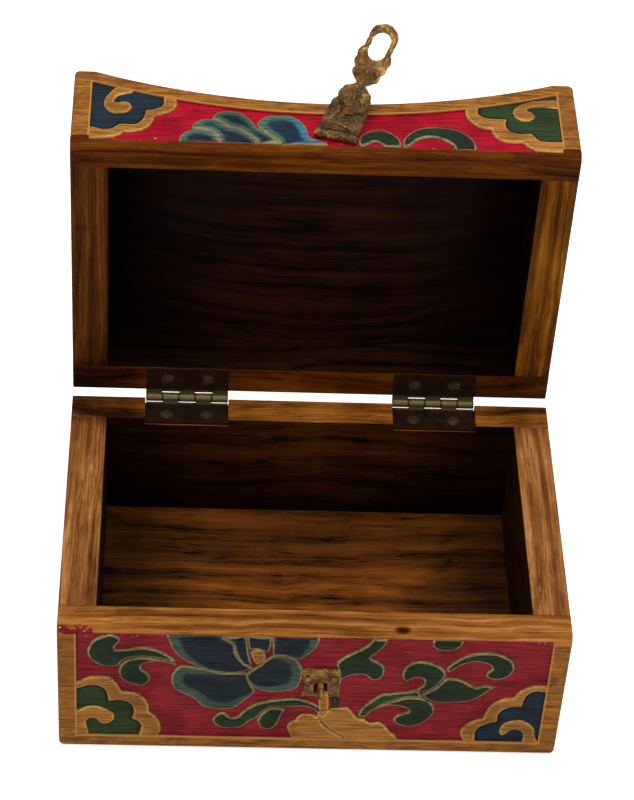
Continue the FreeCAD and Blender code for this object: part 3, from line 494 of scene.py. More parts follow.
BRONZE = [(0.30, rgb(16, 8, 4)), (0.62, rgb(26, 14, 7)), (0.95, rgb(52, 34, 18))]
SCREWS = [(0.30, rgb(34, 24, 15)), (0.62, rgb(58, 44, 29)), (0.95, rgb(104, 88, 62))]
BRASS = [(0.32, rgb(30, 18, 9)), (0.56, rgb(90, 62, 28)), (0.85, rgb(192, 152, 80))]
BROWNED = [(0.32, rgb(22, 13, 4)), (0.56, rgb(74, 49, 15)), (0.85, rgb(168, 129, 52))]
hasp = [name for name in NODES if name.startswith(("hasp", "staple"))]
screws = [name for name in NODES if "leaf_screws" in name]
hinges = [name for name in NODES if "hinge" in name and name not in screws]
dress(metal("dark bronze", BRONZE, rough=0.55, shine=0.4, pits=0.12, barrel_highlight=rgb(92, 78, 44)), *hinges)
dress(metal("bronze screws", SCREWS, rough=0.5, shine=0.5, pits=0.2), *screws)
metal("old brass", BRASS, rough=0.68, shine=0.55, pits=0.9, root=TONGUE_ROOT)
dress(metal("browned brass", BROWNED, rough=0.7, shine=0.5, pits=0.9), *hasp)
print("hinge, screw and hasp nodes:", len(hinges), len(screws), len(hasp))

# %% [markdown]
# ## Painted nails
# The boards are nailed through their faces. The painter went over the heads on the front with the
# same ochre as the border, so there they hardly show, and the heads in the back stayed dark.

# %% Painted nails
def nail_paint(name, lid):
    made, tree, shader = new_material(name)
    place = use(tree, shut, {"Point": here(tree), "Lid": lid})["Place"]
    behind = step(tree, xyz(tree, place)[1], 43.0, 44.0)
    coat = use(tree, paint, {"Place": place, "Colour": OCHRE, "Wear": 0.9})
    colour = mix(tree, behind, coat["Colour"], rgb(46, 30, 18))
    surface(tree, shader, colour, coat["Rough"], coat["Height"], bump=0.4, gloss=0.1)
    return made


dress(nail_paint("base nails", 0.0), "base_corner_nails", "base_floor_nails")
dress(nail_paint("lid nails", 1.0), "lid_corner_nails", "lid_top_nails")
print("painted nails dressed")

# %% [markdown]
# ## Cast relief on the hasp
# The tongue was cast in sand from a worn pattern, so both its faces carry soft lumps: leaves
# round the hole, a knot at the neck and scallops round the ring. Each lump is a flattened ball
# that is buried in the plate. A remesh melts the lumps into each other, and a displace
# modifier with a cloud texture roughens them, always inwards so nothing grows. The flat plates
# get the same skin on copies, because the CAD meshes themselves stay as they are.

# %% Hasp relief
SKEW = math.radians(13.7)
HASP_AT = Vector((2.4, -48.8, 54.8)) * MM
RAISED = math.radians(142.7)
TONGUE = (SWING @ Matrix.Translation(HASP_AT) @ Matrix.Rotation(SKEW, 4, "Y")
          @ Matrix.Rotation(-RAISED, 4, "X") @ Matrix.Rotation(-SKEW, 4, "Y"))
# Each row: place across and along, half length across and along, height over the face, turn.
SINGLE = [
    (0, 5.0, 1.4, 0.8, 0.35, 0), (0, 12.0, 1.0, 1.6, 0.5, 0), (0, 15.0, 1.2, 1.0, 0.4, 0),
    (0, 17.2, 1.1, 1.2, 0.45, 0), (0, 20.6, 1.1, 1.7, 0.5, 0), (0, 34.3, 0.9, 0.7, 0.15, 0),
    (-2.7, 7.4, 1.3, 2.1, 0.85, 12), (2.9, 21.0, 1.3, 1.6, 0.7, -20), (0, 3.4, 3.4, 0.7, 0.55, 0),
]
PAIRED = [
    (3.4, 6.2, 2.0, 1.1, 0.4, -35), (3.6, 8.9, 1.5, 1.0, 0.45, 20), (2.7, 11.5, 1.7, 1.0, 0.4, -30),
    (2.4, 13.8, 1.3, 0.9, 0.35, 30), (2.2, 19.4, 1.4, 0.9, 0.45, -25), (2.9, 22.3, 1.0, 1.4, 0.4, -12),
    (3.6, 25.4, 0.8, 1.6, 0.4, -5), (3.4, 28.6, 0.65, 1.3, 0.3, 0), (3.5, 31.4, 0.7, 1.3, 0.4, 12),
    (1.9, 33.4, 1.2, 0.7, 0.2, -35),
]
LUMPS = SINGLE + PAIRED + [(-aside, *row, -turn) for aside, *row, turn in PAIRED]
lumps = bmesh.new()
for aside, along, wide, tall, proud, turn in LUMPS:
    spot = Matrix.Translation(Vector((aside, -0.8, -along)) * MM)
    spot = spot @ Matrix.Rotation(math.radians(turn), 4, "Y")
    shape = Matrix.Diagonal((wide * MM, (0.6 + proud) * MM, tall * MM, 1))
    bmesh.ops.create_icosphere(lumps, subdivisions=3, radius=1, matrix=TONGUE @ spot @ shape)
mesh = bpy.data.meshes.new("hasp_relief")
lumps.to_mesh(mesh)
lumps.free()
relief = new_object("hasp_relief", mesh)
mesh.materials.append(bpy.data.materials["old brass"])
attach(relief, "hasp")

clouds = bpy.data.textures.new("cast clouds", "CLOUDS")
clouds.noise_scale = 0.0014


def roughen(made, voxel, depth):
    """A cast skin: a fine even mesh, pressed in by a cloud texture."""
    skin = made.modifiers.new("skin", "REMESH")
    skin.mode, skin.voxel_size, skin.use_smooth_shade = "VOXEL", voxel, True
    press = made.modifiers.new("press", "DISPLACE")
    press.texture, press.strength, press.mid_level, press.texture_coords = clouds, depth, 1.0, "LOCAL"


def cast_copy(name, body, finish, voxel, depth):
    """A copy of a CAD node with the cast skin, which stands for that node."""
    made = new_object(name + "_cast", NODES[name].data.copy())
    made.data.materials.clear()
    made.data.materials.append(bpy.data.materials[finish])
    roughen(made, voxel, depth)
    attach(made, body)
    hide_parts(name)


roughen(relief, 0.00018, 0.0004)
cast_copy("hasp_tongue", "hasp", "old brass", 0.00018, 0.00035)
cast_copy("hasp_plate", "lid", "browned brass", 0.00015, 0.0002)
cast_copy("staple_plate", "base", "browned brass", 0.00018, 0.0003)
print("hasp relief lumps:", len(LUMPS), "reach in mm:", max(row[1] for row in LUMPS))

# %% [markdown]
# ## Drawing the carving
# The ornament is a traditional one: a lotus on a mound, leafy scrolls and cloud corners. A carver
# draws each leaf's outline on the board and cuts the ground away around it. The lists below do
# the same. Each gives an outline on the shut front, x from the middle and z from the table, in
# millimetres, with corners where the knife turned. The stems cross the split between
# base and lid, as they do on the real box, and are cut there later.

# %% Outlines of the ornament
PETALS = {
    "petal_left_low": """-41.8 48.8, -40.9 45.7, -39.8 42.5, -38 39.6, -35.1 37.1, -31.6 35, -28.4 33.8,
        -24.8 33.2, -22.4 33.2, -18.9 34.3, -17.1 35, -19.6 36.8, -21.4 39.3, -22.4 42.1, -23 45.4,
        -25.9 47.8, -28.8 50.2, -30.5 52.3, -31 54, -32.6 56, -35.1 56.9, -38 56.9, -40.1 55.6,
        -41.4 53.8, -41.8 51.5""",
    "petal_left_mid": """-38.2 57.6, -38 59.2, -36.9 60.6, -35.1 61.6, -32.6 61.9, -30.1 60.6, -28 58.5,
        -25.1 57.6, -23 56, -21.7 54.6, -19.9 52.4, -19.4 48, -19 44, -18.4 40, -17.6 36.5, -19.6 37,
        -21.3 39.6, -22.3 42.4, -23 45.6, -25.8 48, -28.7 50.4, -30.3 52.5, -30.9 54.2, -32.4 56.3,
        -35 57.2""",
    "petal_left_top": """-32.6 62.1, -31.9 63.8, -30.5 65.3, -27.6 65.8, -25.1 65.4, -23.4 64.2,
        -21.9 62.4, -20.5 59.9, -19.9 58.8, -17.1 56, -14.2 53.1, -13.2 51, -12.4 46, -13.1 42.1,
        -16.4 43.6, -18.4 42.9, -18.9 46, -19.2 48.6, -19.6 52.4, -21.5 54.8, -22.9 56.3, -25 57.9,
        -27.9 58.8, -30 60.9""",
    "petal_right_top": """-19.7 59.9, -18.9 62.1, -17.1 63.8, -14.9 64.6, -11.7 64.7, -9.6 64, -7.4 62.1,
        -6 59.6, -5.5 57.4, -5.2 55.5, -3.1 54, -0.3 52.6, 1.3 50.4, 1.2 48.6, 0.6 45.4, -1.4 42.1,
        -3.9 39.3, -6 40, -8.9 41.1, -11.7 40.9, -11.9 45, -12.3 49, -13 51.4, -14 53.3, -16.9 56.2""",
    "petal_right": """-12.4 40, -10.3 40.9, -7.4 40.5, -4.9 38.9, -3.9 36.8, -3.1 33.9, -3.5 30,
        -4.6 27.1, -7.4 25.7, -10.3 25.2, -13.5 25.5, -16.4 27.1, -18.3 30, -18.7 32.5, -17.1 34.6,
        -14.9 36.8, -13.5 38.9""",
    "petal_low": """-36.9 35.4, -38.7 34.3, -39.8 32.1, -40.1 29.3, -39.4 26.4, -37.3 24.1, -34.4 22.5,
        -32.6 20.7, -31.2 18.6, -29.1 17.7, -25.9 17.3, -22.4 17.9, -19.9 20.4, -17.8 22.9, -16.4 25.4,
        -17.4 27.9, -18.5 30.7, -18.9 33, -22.4 32.9, -24.8 32.9, -28.4 33.5, -31.6 34.6""",
}
HEART = "-16.4 43.4, -18.3 41.8, -17.4 38.6, -16.2 36.4, -13.9 38.2, -13.7 40.7, -14.6 42.9"
LEAVES = {
    "scroll_left": """-38.7 36.3, -39.8 38.6, -42.3 40.7, -45.1 42.3, -48.7 43, -51.6 42.5, -53.7 41.9,
        -55.9 41.9, -56 43.2, -55.1 44.6, -54.8 46.4, -56.2 47.8, -58 48.1, -60.1 47.3, -62.3 45.7,
        -63.6 43.2, -64.1 40.7, -63.5 38.2, -61.9 36.1, -59.8 34.8, -57.3 34.6, -55.1 35.2, -54.3 36.8,
        -52 38.4, -48.7 39, -45 38.6, -41.5 37.6""",
    "curl_left": """-48.7 38.9, -51.6 38.2, -53.7 36.8, -55 34.6, -55.3 32.1, -54.6 29.6, -53 27.9,
        -50.9 27, -48.4 26.6, -46.6 28.2, -46.2 30.4, -47.1 32.5, -48.4 33.6, -48.7 35, -47.3 36.3,
        -44.8 37, -41.9 36.6, -39.8 35.7, -38.9 35, -38.7 36.2, -41.5 37.5, -45 38.5""",
    "leaf_low": """3.6 15, 3.3 17.9, 1.9 19.6, -1 21.4, -4.6 22.3, -8.1 22.1, -11.7 21.4, -15.3 20,
        -17.8 18.2, -19.6 16.1, -21 13.9, -22.8 13.2, -23.9 14.6, -24.6 15.7, -26.2 15.4, -27.6 13.9,
        -28.2 11.8, -26.9 9.6, -24.4 8.6, -20.6 8.8, -18.9 10, -17.1 12.1, -15.6 13.2, -13.5 16.2,
        -11.5 18.3, -7.5 18.6, -4.6 18.6, -1.7 18.8, 0.4 17.9, 2.2 16.1, 3.3 14.3""",
    "leaf_drop": """-11.7 18, -13.9 15.7, -14.9 13.6, -15.3 12.1, -14.9 10.7, -13.9 8.9, -11.7 8.4,
        -9.9 9.6, -8.9 12.1, -8.1 15, -7.1 17.5, -9.5 18.2""",
    "sepal": """5.8 24.3, 6.1 18.8, 7.9 18.4, 8.1 21.4, 7 23.9""",
    "branch": """6.4 37.5, 7.2 34, 7.4 28, 7 24.5, 8.1 24.5, 8 28.6, 8.7 31.1, 10.4 32.5, 12.9 33.2,
        15.1 32.9, 16.5 31.2, 18.3 30.9, 19.7 32.1, 20.4 34.3, 20.1 36.8, 18.6 38.6, 16.9 39.6,
        16.1 40.7, 17.9 42.9, 19.7 45.4, 20.6 48.6, 21.1 52.4, 21 54.9, 19.7 57.1, 17.2 59, 14.7 59.5,
        11.9 58.7, 9.7 56.7, 8.8 54.2, 9.3 52.2, 10.2 51.6, 11.9 52.8, 13.6 53.8, 15.1 53.3, 16 52.2,
        16.4 50, 16.2 48.6, 15.1 46.4, 12.6 43.9, 9.7 41.8, 7.2 39.3""",
    "stem_right": """13.6 15, 14.4 17.9, 16.1 20.7, 18.3 23.2, 20.4 25, 23.3 25.6, 27.9 26.4, 29.6 27.1,
        31 26.3, 31.4 25, 32.6 23.3, 30.4 23.9, 27.1 23.8, 24.3 22.5, 21.5 21, 18.5 18.2, 15.8 14.8""",
    "curl_right": """24.3 22.5, 27.1 23.8, 30.4 23.9, 32.9 23, 34.6 21.8, 35.7 19.6, 35.9 17.5,
        35.2 15.4, 33.6 13.2, 31.4 11.4, 28.9 10.7, 26.4 11.3, 24.6 12.5, 24.1 14.3, 25.4 16.1,
        27.5 17.1, 28.4 17.9, 27.5 18.9, 25.4 19.8, 23.2 20, 21.1 19.5, 20.1 18.9, 17.9 17.1, 15.8 14.8,
        18.5 18.2, 21.5 21""",
    "scroll_right": """29.6 27.1, 31.1 28.6, 31.8 30, 31.4 31.8, 29.6 32.3, 27.9 31.4, 26.8 30.5,
        25.5 32.1, 25.4 34.6, 26.1 36.8, 27.9 38.8, 30.4 39.5, 33.2 38.9, 35.7 37.5, 37.5 35.7, 38 33.9,
        37.1 31.4, 35.4 28.6, 33.2 26.8, 31 26.4""",
    "leaf_right": """38 32.5, 41.1 32.3, 43.6 31.1, 45.7 29.5, 47.1 28.6, 48.2 29.3, 50.4 29.6,
        52.5 29.3, 53.9 29.5, 51.4 27.9, 49.6 25.7, 47.5 23.6, 44.6 22.3, 41.4 21.8, 37.9 21.6, 35.4 22,
        32.9 23.2, 31.5 25, 33.2 26.6, 35.4 28.4, 37.2 31.2""",
    "arc_right": """37.9 35.7, 38.2 37.5, 40 39.6, 42.1 41.6, 45 43, 48.2 43.6, 51.4 43.4, 54.3 42.1,
        56.4 40, 57.3 37.5, 56.8 35, 55.4 33.2, 52.9 32.1, 50.4 32.5, 49.1 33.6, 49.6 35.4, 50.7 36.8,
        50 38.2, 48.2 39.1, 46.1 39.5, 43.2 38.8, 40.7 36.8, 38.6 34.6""",
    "arc_split": """21.8 51.5, 21.4 54.2, 22.1 56.3, 23.9 58.8, 26.8 60.8, 30 61.5, 33.6 61.5, 36.4 60.8,
        38.9 59.6, 41.1 57.4, 42.3 55.3, 42.6 52.4, 42.2 49.5, 41.4 46.4, 39.6 44.5, 36.8 44, 34.3 44.6,
        32.9 46.4, 33.3 48.6, 35.2 50.2, 36.1 52.2, 35.4 53.8, 33.6 55.3, 31.8 56.4, 28.6 56.5,
        26.4 55.6, 24.6 53.8, 22.9 52""",
}
MOUND_LEFT = """-3.9 4, -6 7.5, -6.5 9.6, -6 11.4, -4.2 12.9, -3.5 14.6, -1.7 15.7, 0.4 15.4, 2.6 14.3"""
MOUND_RIGHT = """4 15.7, 5.4 17.9, 8.3 18.6, 10.8 18.9, 12.2 16.8, 13.6 14.6, 16.1 13.6, 17.6 12.1,
    20.1 12.5, 21.9 11.1, 23.6 8.6, 25.4 6.4, 26.8 4"""
MOUND = {
    "mound": MOUND_LEFT + "," + MOUND_RIGHT,
    "mound_left": MOUND_LEFT + ", 3.5 11.6, 6 8.7, 9.2 6.1, 11.2 4",
    "mound_right": MOUND_RIGHT + ", 11.8 4, 9.6 6.5, 6.4 9.2, 4 12, 3.2 14.4",
    "trunk": "1.9 14.8, 2.2 20, 1.6 25.5, 5 25.5, 5.3 20, 5.3 17.9, 4 15.7, 2.6 14.5",
}
print("outlines:", len(PETALS) + 1 + len(LEAVES) + len(MOUND))

# %% [markdown]
# ## Cloud corners
# Each corner has a cloud: a sunk fill of one colour, an ochre band along its wavy edge, and an
# ochre curl. The band lies between two wavy lines, so it needs only those two lines, and the
# fill needs the inner one and the corner itself.

# %% Outlines of the clouds
CLOUDS = {
    "base_left": (
        """-67.8 26.9, -65.9 28.6, -63.7 30, -60.9 30.4, -58 30, -55.9 27.9, -54.8 25.4, -54.1 23.9,
        -51.6 23.8, -49.1 22.7, -47.3 20.4, -46.4 17.5, -46.2 15, -44.4 13.2, -43.2 10.4, -42.8 7.5,
        -43.9 4""",
        """-67.8 24.6, -66.4 25, -64.4 26.1, -61.6 26.3, -59.4 25, -58.5 22.5, -58.2 19.6, -55.9 20,
        -53.7 19.8, -51.8 18.6, -50.9 16.1, -51 13.6, -51.6 12.1, -49.8 11.1, -48.7 8.9, -49.1 6.4,
        -49.6 4""",
        """-67.8 15.3, -66.6 15.7, -64.4 17.1, -61.9 17.5, -59.1 16.4, -56.9 14.6, -56.2 12.5,
        -57.3 10.4, -59.1 9.5, -60.9 10.4, -61.6 11.8, -63.4 12, -64.4 10.4, -64.1 7.9, -63.7 5.7,
        -63.9 4, -67.8 4""",
        """-67.8 4""",
    ),
    "base_right": (
        """67.8 30, 63.9 29.8, 61.1 28.6, 58.9 26.4, 58.4 24.5, 55.7 24.1, 53.2 22.5, 51.4 20, 50.4 17.1,
        50.2 15, 47.9 14.3, 45.4 12.1, 44.1 9.6, 44.3 7.1, 46 4""",
        """67.8 27, 66.8 27.1, 64.6 27.5, 62.5 26.1, 61.4 23.6, 61.1 20.4, 58.6 20.4, 56.1 19.3,
        54.6 16.8, 54.5 13.6, 52.1 12.9, 49.6 11.1, 48.6 8.6, 48.9 4""",
        """67.8 4, 66.1 7.9, 65.7 10.7, 63.9 13.2, 61.4 14.6, 58.6 14.3, 56.4 12.9, 55.4 10.7, 55.7 8.2,
        56.8 7.5, 57.9 8.9, 59.3 10.4, 61.4 10, 62.5 7.9, 62.5 5.7, 62.4 4""",
        """67.8 4""",
    ),
    "lid_left": (
        """-43.2 74, -42.6 69.2, -43 66.7, -44.4 64.9, -46.6 63.7, -48.7 62.8, -49.2 60.6, -50.1 58.5,
        -51.6 56.7, -53.4 55.6, -55.5 55.1, -57.5 54.9, -58.7 53.7, -60.5 52.6, -63 52.1, -67.8 51.8""",
        """-47 75, -46.6 70.3, -46.7 68.3, -48 66.7, -50.1 65.8, -51.6 65.6, -51.9 63.1, -52.6 61,
        -53.9 59.2, -55.1 58.8, -58.7 58.8, -59.8 57.9, -61 56.7, -63.4 56.2, -65.5 56.9, -67.8 57.6""",
        """-58.8 78.4, -62.3 72.8, -63.5 69.9, -63.6 67.4, -62.8 65.3, -61.2 63.8, -59.1 63.5,
        -56.9 64.2, -55.7 65.6, -55.5 67.2, -56.4 68.7, -58 69.2, -59.6 68.6, -60.7 69, -60.4 70.2,
        -59.5 71.6, -58 72.4, -55.5 73.5, -53 76.6""",
        """-67.8 80.5, -60 78.6, -53 76.6""",
    ),
    "lid_right": (
        """40 73.4, 40.2 67.4, 41.1 64.9, 42.9 62.8, 45 61.5, 47.1 61.3, 47.3 59.6, 48.2 57.6, 50 56,
        52.9 55.3, 55.9 55.4, 56.8 54.2, 58.2 52.8, 59.6 52.1, 67.8 51.8""",
        """44.6 74.6, 44.1 70.6, 43.9 68.5, 45 67.1, 47.1 66.3, 50 66.2, 52.1 66.3, 51.6 64.2, 51.8 62.4,
        52.9 60.6, 55 59.7, 58.6 59.9, 59.6 58.5, 61.1 56.7, 66.4 56.5, 67.8 56.6""",
        """67.8 75.8, 62.9 75.6, 59.6 74.9, 56.8 73.5, 54.8 71.7, 53.9 69.9, 54.1 68.1, 55.2 66.3,
        57.1 65.4, 58.9 65.8, 60.2 67.2, 60.2 68.8, 59.1 70.1, 58.2 70.3, 58.7 71.3, 60.4 72.1,
        63.6 72.2, 67.8 71.7""",
        """67.8 80.5, 62 79, 53 76.6""",
    ),
}
print("cloud corners:", ", ".join(CLOUDS))

# %% [markdown]
# ## From an outline to a carved piece
# A carved leaf rises steeply at its edge, and its back is rounded, hollowed or flat. So the height
# of a point follows from its distance to the outline. The outline is smoothed first, except at
# sharp corners. Then rings of points just inside it and a grid of points further in are joined
# into triangles. The distance is also kept on each point, because the painter's gold contour
# follows the edge in the same way.


# %% Carving functions
def points_of(text):
    return np.array([[float(v) for v in pair.split()] for pair in text.split(",")])


def smooth_outline(points, gap=0.5, corner=62):
    """A closed Catmull-Rom curve through the points, sampled about every gap, sharp at its corners."""
    n, made = len(points), []
    ahead = np.roll(points, -1, 0) - points
    way = np.degrees(np.arctan2(ahead[:, 1], ahead[:, 0]))
    turn = np.abs((way - np.roll(way, 1) + 180) % 360 - 180)
    slope = (np.roll(points, -1, 0) - np.roll(points, 1, 0)) / 2
    for i in range(n):
        a, b = points[i], points[(i + 1) % n]
        chord = b - a
        length = np.linalg.norm(chord)
        before = np.linalg.norm(a - points[i - 1])
        after = np.linalg.norm(points[(i + 2) % n] - b)
        ta = chord if turn[i] > corner else slope[i] * 2 * length / (length + before)
        tb = chord if turn[(i + 1) % n] > corner else slope[(i + 1) % n] * 2 * length / (length + after)
        for t in np.arange(0, 1, 1 / max(1, round(length / gap))):
            h = (2 * t**3 - 3 * t**2 + 1, t**3 - 2 * t**2 + t, 3 * t**2 - 2 * t**3, t**3 - t**2)
            made.append(h[0] * a + h[1] * ta + h[2] * b + h[3] * tb)
    return np.array(made)


def inside(points, loop):
    a, b = loop, np.roll(loop, -1, 0)
    x, y = points[:, :1], points[:, 1:]
    crosses = ((a[:, 1] > y) != (b[:, 1] > y))
    with np.errstate(divide="ignore", invalid="ignore"):
        at = (b[:, 0] - a[:, 0]) * (y - a[:, 1]) / (b[:, 1] - a[:, 1]) + a[:, 0]
    return (crosses & (x < at)).sum(1) % 2 == 1


def distance(points, loop):
    a, b = loop, np.roll(loop, -1, 0)
    run = b - a
    span = np.maximum((run**2).sum(1), 1e-12)
    t = np.clip((((points[:, None] - a) * run).sum(2)) / span, 0, 1)
    return np.sqrt(((points[:, None] - a - t[..., None] * run) ** 2).sum(2)).min(1)


def cut_at(loop, level, keep_below):
    """The part of a closed loop below or above a level of z."""
    made, sign = [], 1 if keep_below else -1
    for p, q in zip(loop, np.roll(loop, -1, 0)):
        p_in, q_in = sign * (level - p[1]) >= 0, sign * (level - q[1]) >= 0
        if p_in:
            made.append(p)
        if p_in != q_in:
            made.append(p + (q - p) * (level - p[1]) / (q[1] - p[1]))
    return np.array(made)


def normals(loop):
    """Unit vectors square to a closed loop."""
    ahead = np.roll(loop, -1, 0) - np.roll(loop, 1, 0)
    span = np.maximum(np.linalg.norm(ahead, axis=1), 1e-9)[:, None]
    return np.stack([-ahead[:, 1], ahead[:, 0]], 1) / span


def grown(loop, by):
    """The loop moved outwards."""
    x, z = loop.T
    turn = np.sign((x * np.roll(z, -1) - z * np.roll(x, -1)).sum())
    return loop - by * turn * normals(loop)


def rounded(d, width):
    """A quarter round that rises from 0 at the edge to 1."""
    return np.sqrt(1 - (1 - np.minimum(d / width, 1)) ** 2)


PROFILES = {  # height in mm from the distance d to the edge and the half width w
    "leaf": lambda d, w: 0.70 * rounded(d, 1.3) - 0.30 * np.clip((d / w - 0.6) / 0.4, 0, 1) ** 2,
    "petal": lambda d, w: 0.74 * rounded(d, 0.9) - 0.42 * np.clip((d - 0.9) / 3.2, 0, 1) ** 1.3,
    "band": lambda d, w: 0.74 * rounded(d, 1.0),
    "fill": lambda d, w: 0.22 * np.minimum(d / 0.3, 1),
}
RINGS = (0.22, 0.55, 0.95)  # distances of the rings of points from the outline
GRID_X, GRID_Z, STAGGER, JITTER, CLEAR = 0.85, 0.75, 0.42, 0.08, 1.25  # the grid, and how far in it begins
FOOT_DEPTH, BACK_DEPTH = -0.08, -0.2  # the edge and the back of a piece lie under the ground
rng = np.random.default_rng(7)


def fill_points(loop):
    """Rings of points near the outline, and a jittered grid further in."""
    square = normals(loop)
    rings = np.concatenate([loop + side * r * square for r in RINGS for side in (-1, 1)])
    low, high = loop.min(0), loop.max(0)
    gx, gz = np.meshgrid(np.arange(low[0], high[0], GRID_X), np.arange(low[1], high[1], GRID_Z))
    gx[::2] += STAGGER
    grid = np.stack([gx.ravel(), gz.ravel()], 1) + rng.uniform(-JITTER, JITTER, (gx.size, 2))
    size = np.repeat(RINGS, 2 * len(loop))
    rings = rings[inside(rings, loop) & (distance(rings, loop) > 0.9 * size)]
    grid = grid[inside(grid, loop)]
    return np.concatenate([rings, grid[distance(grid, loop) > CLEAR]])


class Panel:
    """Collects the carved pieces of one board in one mesh; place(x, z, height) gives a point in metres."""

    def __init__(self, name, place, rim=None):
        self.name, self.place, self.rim = name, place, rim
        self.mesh, self.paints, self.count = bmesh.new(), [], 0
        self.edge = self.mesh.verts.layers.float.new("edge")
        self.root = self.mesh.verts.layers.float.new("root")

    def carve(self, outline, profile, colour, root=None, fit=lambda p: p, grow=0.0):
        whole = smooth_outline(fit(points_of(outline) if isinstance(outline, str) else outline))
        if grow:
            whole = grown(whole, grow)
        loop = whole if self.rim is None else cut_at(whole, *self.rim)
        if len(loop) < 3:
            return
        cloud = [Vector(p) for p in np.concatenate([loop, fill_points(loop)])]
        flat, _, faces, *_ = delaunay_2d_cdt(cloud, [], [list(range(len(loop)))], 1, 1e-4)
        flat = np.array([tuple(p) for p in flat])
        d = distance(flat, whole)
        height = PROFILES[profile](d, max(d.max(), 0.6))
        height[d < 0.02] = FOOT_DEPTH
        if self.rim is not None:
            room = (self.rim[0] - flat[:, 1]) * (1 if self.rim[1] else -1)
            height = np.minimum(height, room)
        reach, longest = d, d.max()
        if root is not None:
            reach = np.linalg.norm(flat - root, axis=1)
            longest = np.linalg.norm(whole - root, axis=1).max()
        self.build(flat, faces, height, d, reach / max(longest, 1e-6), colour)

    def build(self, flat, faces, height, d, reach, colour):
        """A closed piece: its carved top, steep sides and a flat back in the ground."""
        if colour not in self.paints:
            self.paints.append(colour)
        verts = []
        for p, h, e, r in zip(flat, height, d, reach):
            v = self.mesh.verts.new((p[0], p[1], h))
            v[self.edge], v[self.root] = e, r
            verts.append(v)
        top = []
        for f in faces:
            if len(set(f)) == 3:
                top.append(self.mesh.faces.new([verts[i] for i in f]))
        rimmed = [e for f in top for e in f.edges if len(e.link_faces) == 1]
        skirt = bmesh.ops.extrude_edge_only(self.mesh, edges=rimmed)["geom"]
        for v in (g for g in skirt if isinstance(g, bmesh.types.BMVert)):
            v.co.z = BACK_DEPTH
        sides = [g for g in skirt if isinstance(g, bmesh.types.BMFace)]
        lower = [e for e in skirt if isinstance(e, bmesh.types.BMEdge) and len(e.link_faces) == 1]
        back = bmesh.ops.holes_fill(self.mesh, edges=lower, sides=0)["faces"]
        for f in top + sides + back:
            f.material_index = self.paints.index(colour)
            f.smooth = f in top
        self.count += 1

    def finish(self, body):
        loose = [v for v in self.mesh.verts if not v.link_faces]
        bmesh.ops.delete(self.mesh, geom=loose, context="VERTS")
        for v in self.mesh.verts:
            v.co = self.place(*v.co)
        bmesh.ops.recalc_face_normals(self.mesh, faces=self.mesh.faces)
        mesh = bpy.data.meshes.new(self.name)
        self.mesh.to_mesh(mesh)
        self.mesh.free()
        for colour in self.paints:
            mesh.materials.append(CARVED[colour])
        made = new_object(self.name, mesh)
        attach(made, body)
        print(self.name, "pieces:", self.count, "faces:", len(mesh.polygons))


print("profiles:", ", ".join(PROFILES))

# %% [markdown]
# ## Carving paints
# The painter shaded every piece. Petals go from navy at the root to teal at the lip, leaves have
# a lighter green back, and a pale gold line follows every edge. The distance to the edge and the
# distance from the root, which the carving kept, say where each colour goes.

# %% Paints of the carving
shade, gin, gout = group("Painted edge",
                         {"Place": "Vector", "Edge": "Float", "Root": "Float", "Reach": "Float"},
                         {"Contour": "Float", "Lip": "Float"})
hand = noise(shade, gin.outputs["Place"], 0.5, 3)
edge = muladd(shade, hand, 0.5, calc(shade, "SUBTRACT", gin.outputs["Edge"], 0.25))
wide = times(shade, step(shade, gin.outputs["Root"], 0.2, 0.85), gin.outputs["Reach"])
give(shade, gout, Contour=step(shade, edge, 0.80, 0.60),
     Lip=step(shade, calc(shade, "SUBTRACT", edge, wide), 0.9, -0.5))

CARVED = {}


def carving_paint(name, deep, lip, contour, reach, wear=0.3, left=None):
    made, tree, shader = new_material("carved " + name)
    place = in_mm(tree, here(tree))
    edge, root = (add(tree, "Attribute", attribute_name=kept).outputs["Fac"] for kept in ("edge", "root"))
    masks = use(tree, shade, {"Place": place, "Edge": edge, "Root": root, "Reach": reach})
    if left:
        lip = mix(tree, step(tree, xyz(tree, place)[0], -13.0, -6.5), left, lip)
    colour = mix(tree, masks["Lip"], deep, lip)
    coat = use(tree, paint, {"Place": place, "Colour": colour, "Wear": wear})
    line = use(tree, paint, {"Place": place, "Colour": contour, "Wear": 0.8})
    seen = mix(tree, masks["Contour"], coat["Colour"], line["Colour"])
    # The colour darkens along the foot of each piece, in the cut.
    seen = mix(tree, times(tree, step(tree, edge, 0.2, 0.02), 0.8), seen, rgb(48, 24, 20))
    surface(tree, shader, seen, coat["Rough"], coat["Height"], bump=0.35, gloss=0.05)
    CARVED[name] = made


GOLD = rgb(136, 120, 84)
carving_paint("blue", rgb(26, 34, 40), rgb(59, 76, 64), GOLD, 3.2)
carving_paint("dusk", rgb(26, 36, 50), rgb(62, 94, 82), GOLD, 1.9)
carving_paint("sky", rgb(22, 40, 58), rgb(54, 116, 140), GOLD, 2.4, left=rgb(62, 94, 82))
carving_paint("green", rgb(29, 42, 24), rgb(48, 69, 37), GOLD, 1.5)
carving_paint("ochre", rgb(154, 102, 44), rgb(160, 108, 48), rgb(182, 136, 72), 0.6, 0.5)
carving_paint("navy fill", rgb(26, 38, 50), rgb(30, 48, 54), rgb(20, 28, 34), 0.5)
carving_paint("green fill", rgb(38, 56, 28), rgb(47, 66, 34), rgb(26, 36, 20), 0.5)
print("carving paints:", ", ".join(CARVED))

# %% [markdown]
# ## The front
# The carving lies on the sunk ground of the two front boards. The base keeps what is below
# its bevelled rim, and the lid keeps what is above its own.

# %% Front carvings
HEART_AT = (-17.2, 35.5)
FRONT_GROUND, BASE_RIM, LID_RIM = 47.2, 48.3, 51.9  # the sunk ground, and where the bevelled rims begin
PETAL_GROW, SMALL_GROW = 0.28, 0.2  # petals are cut a little larger than drawn


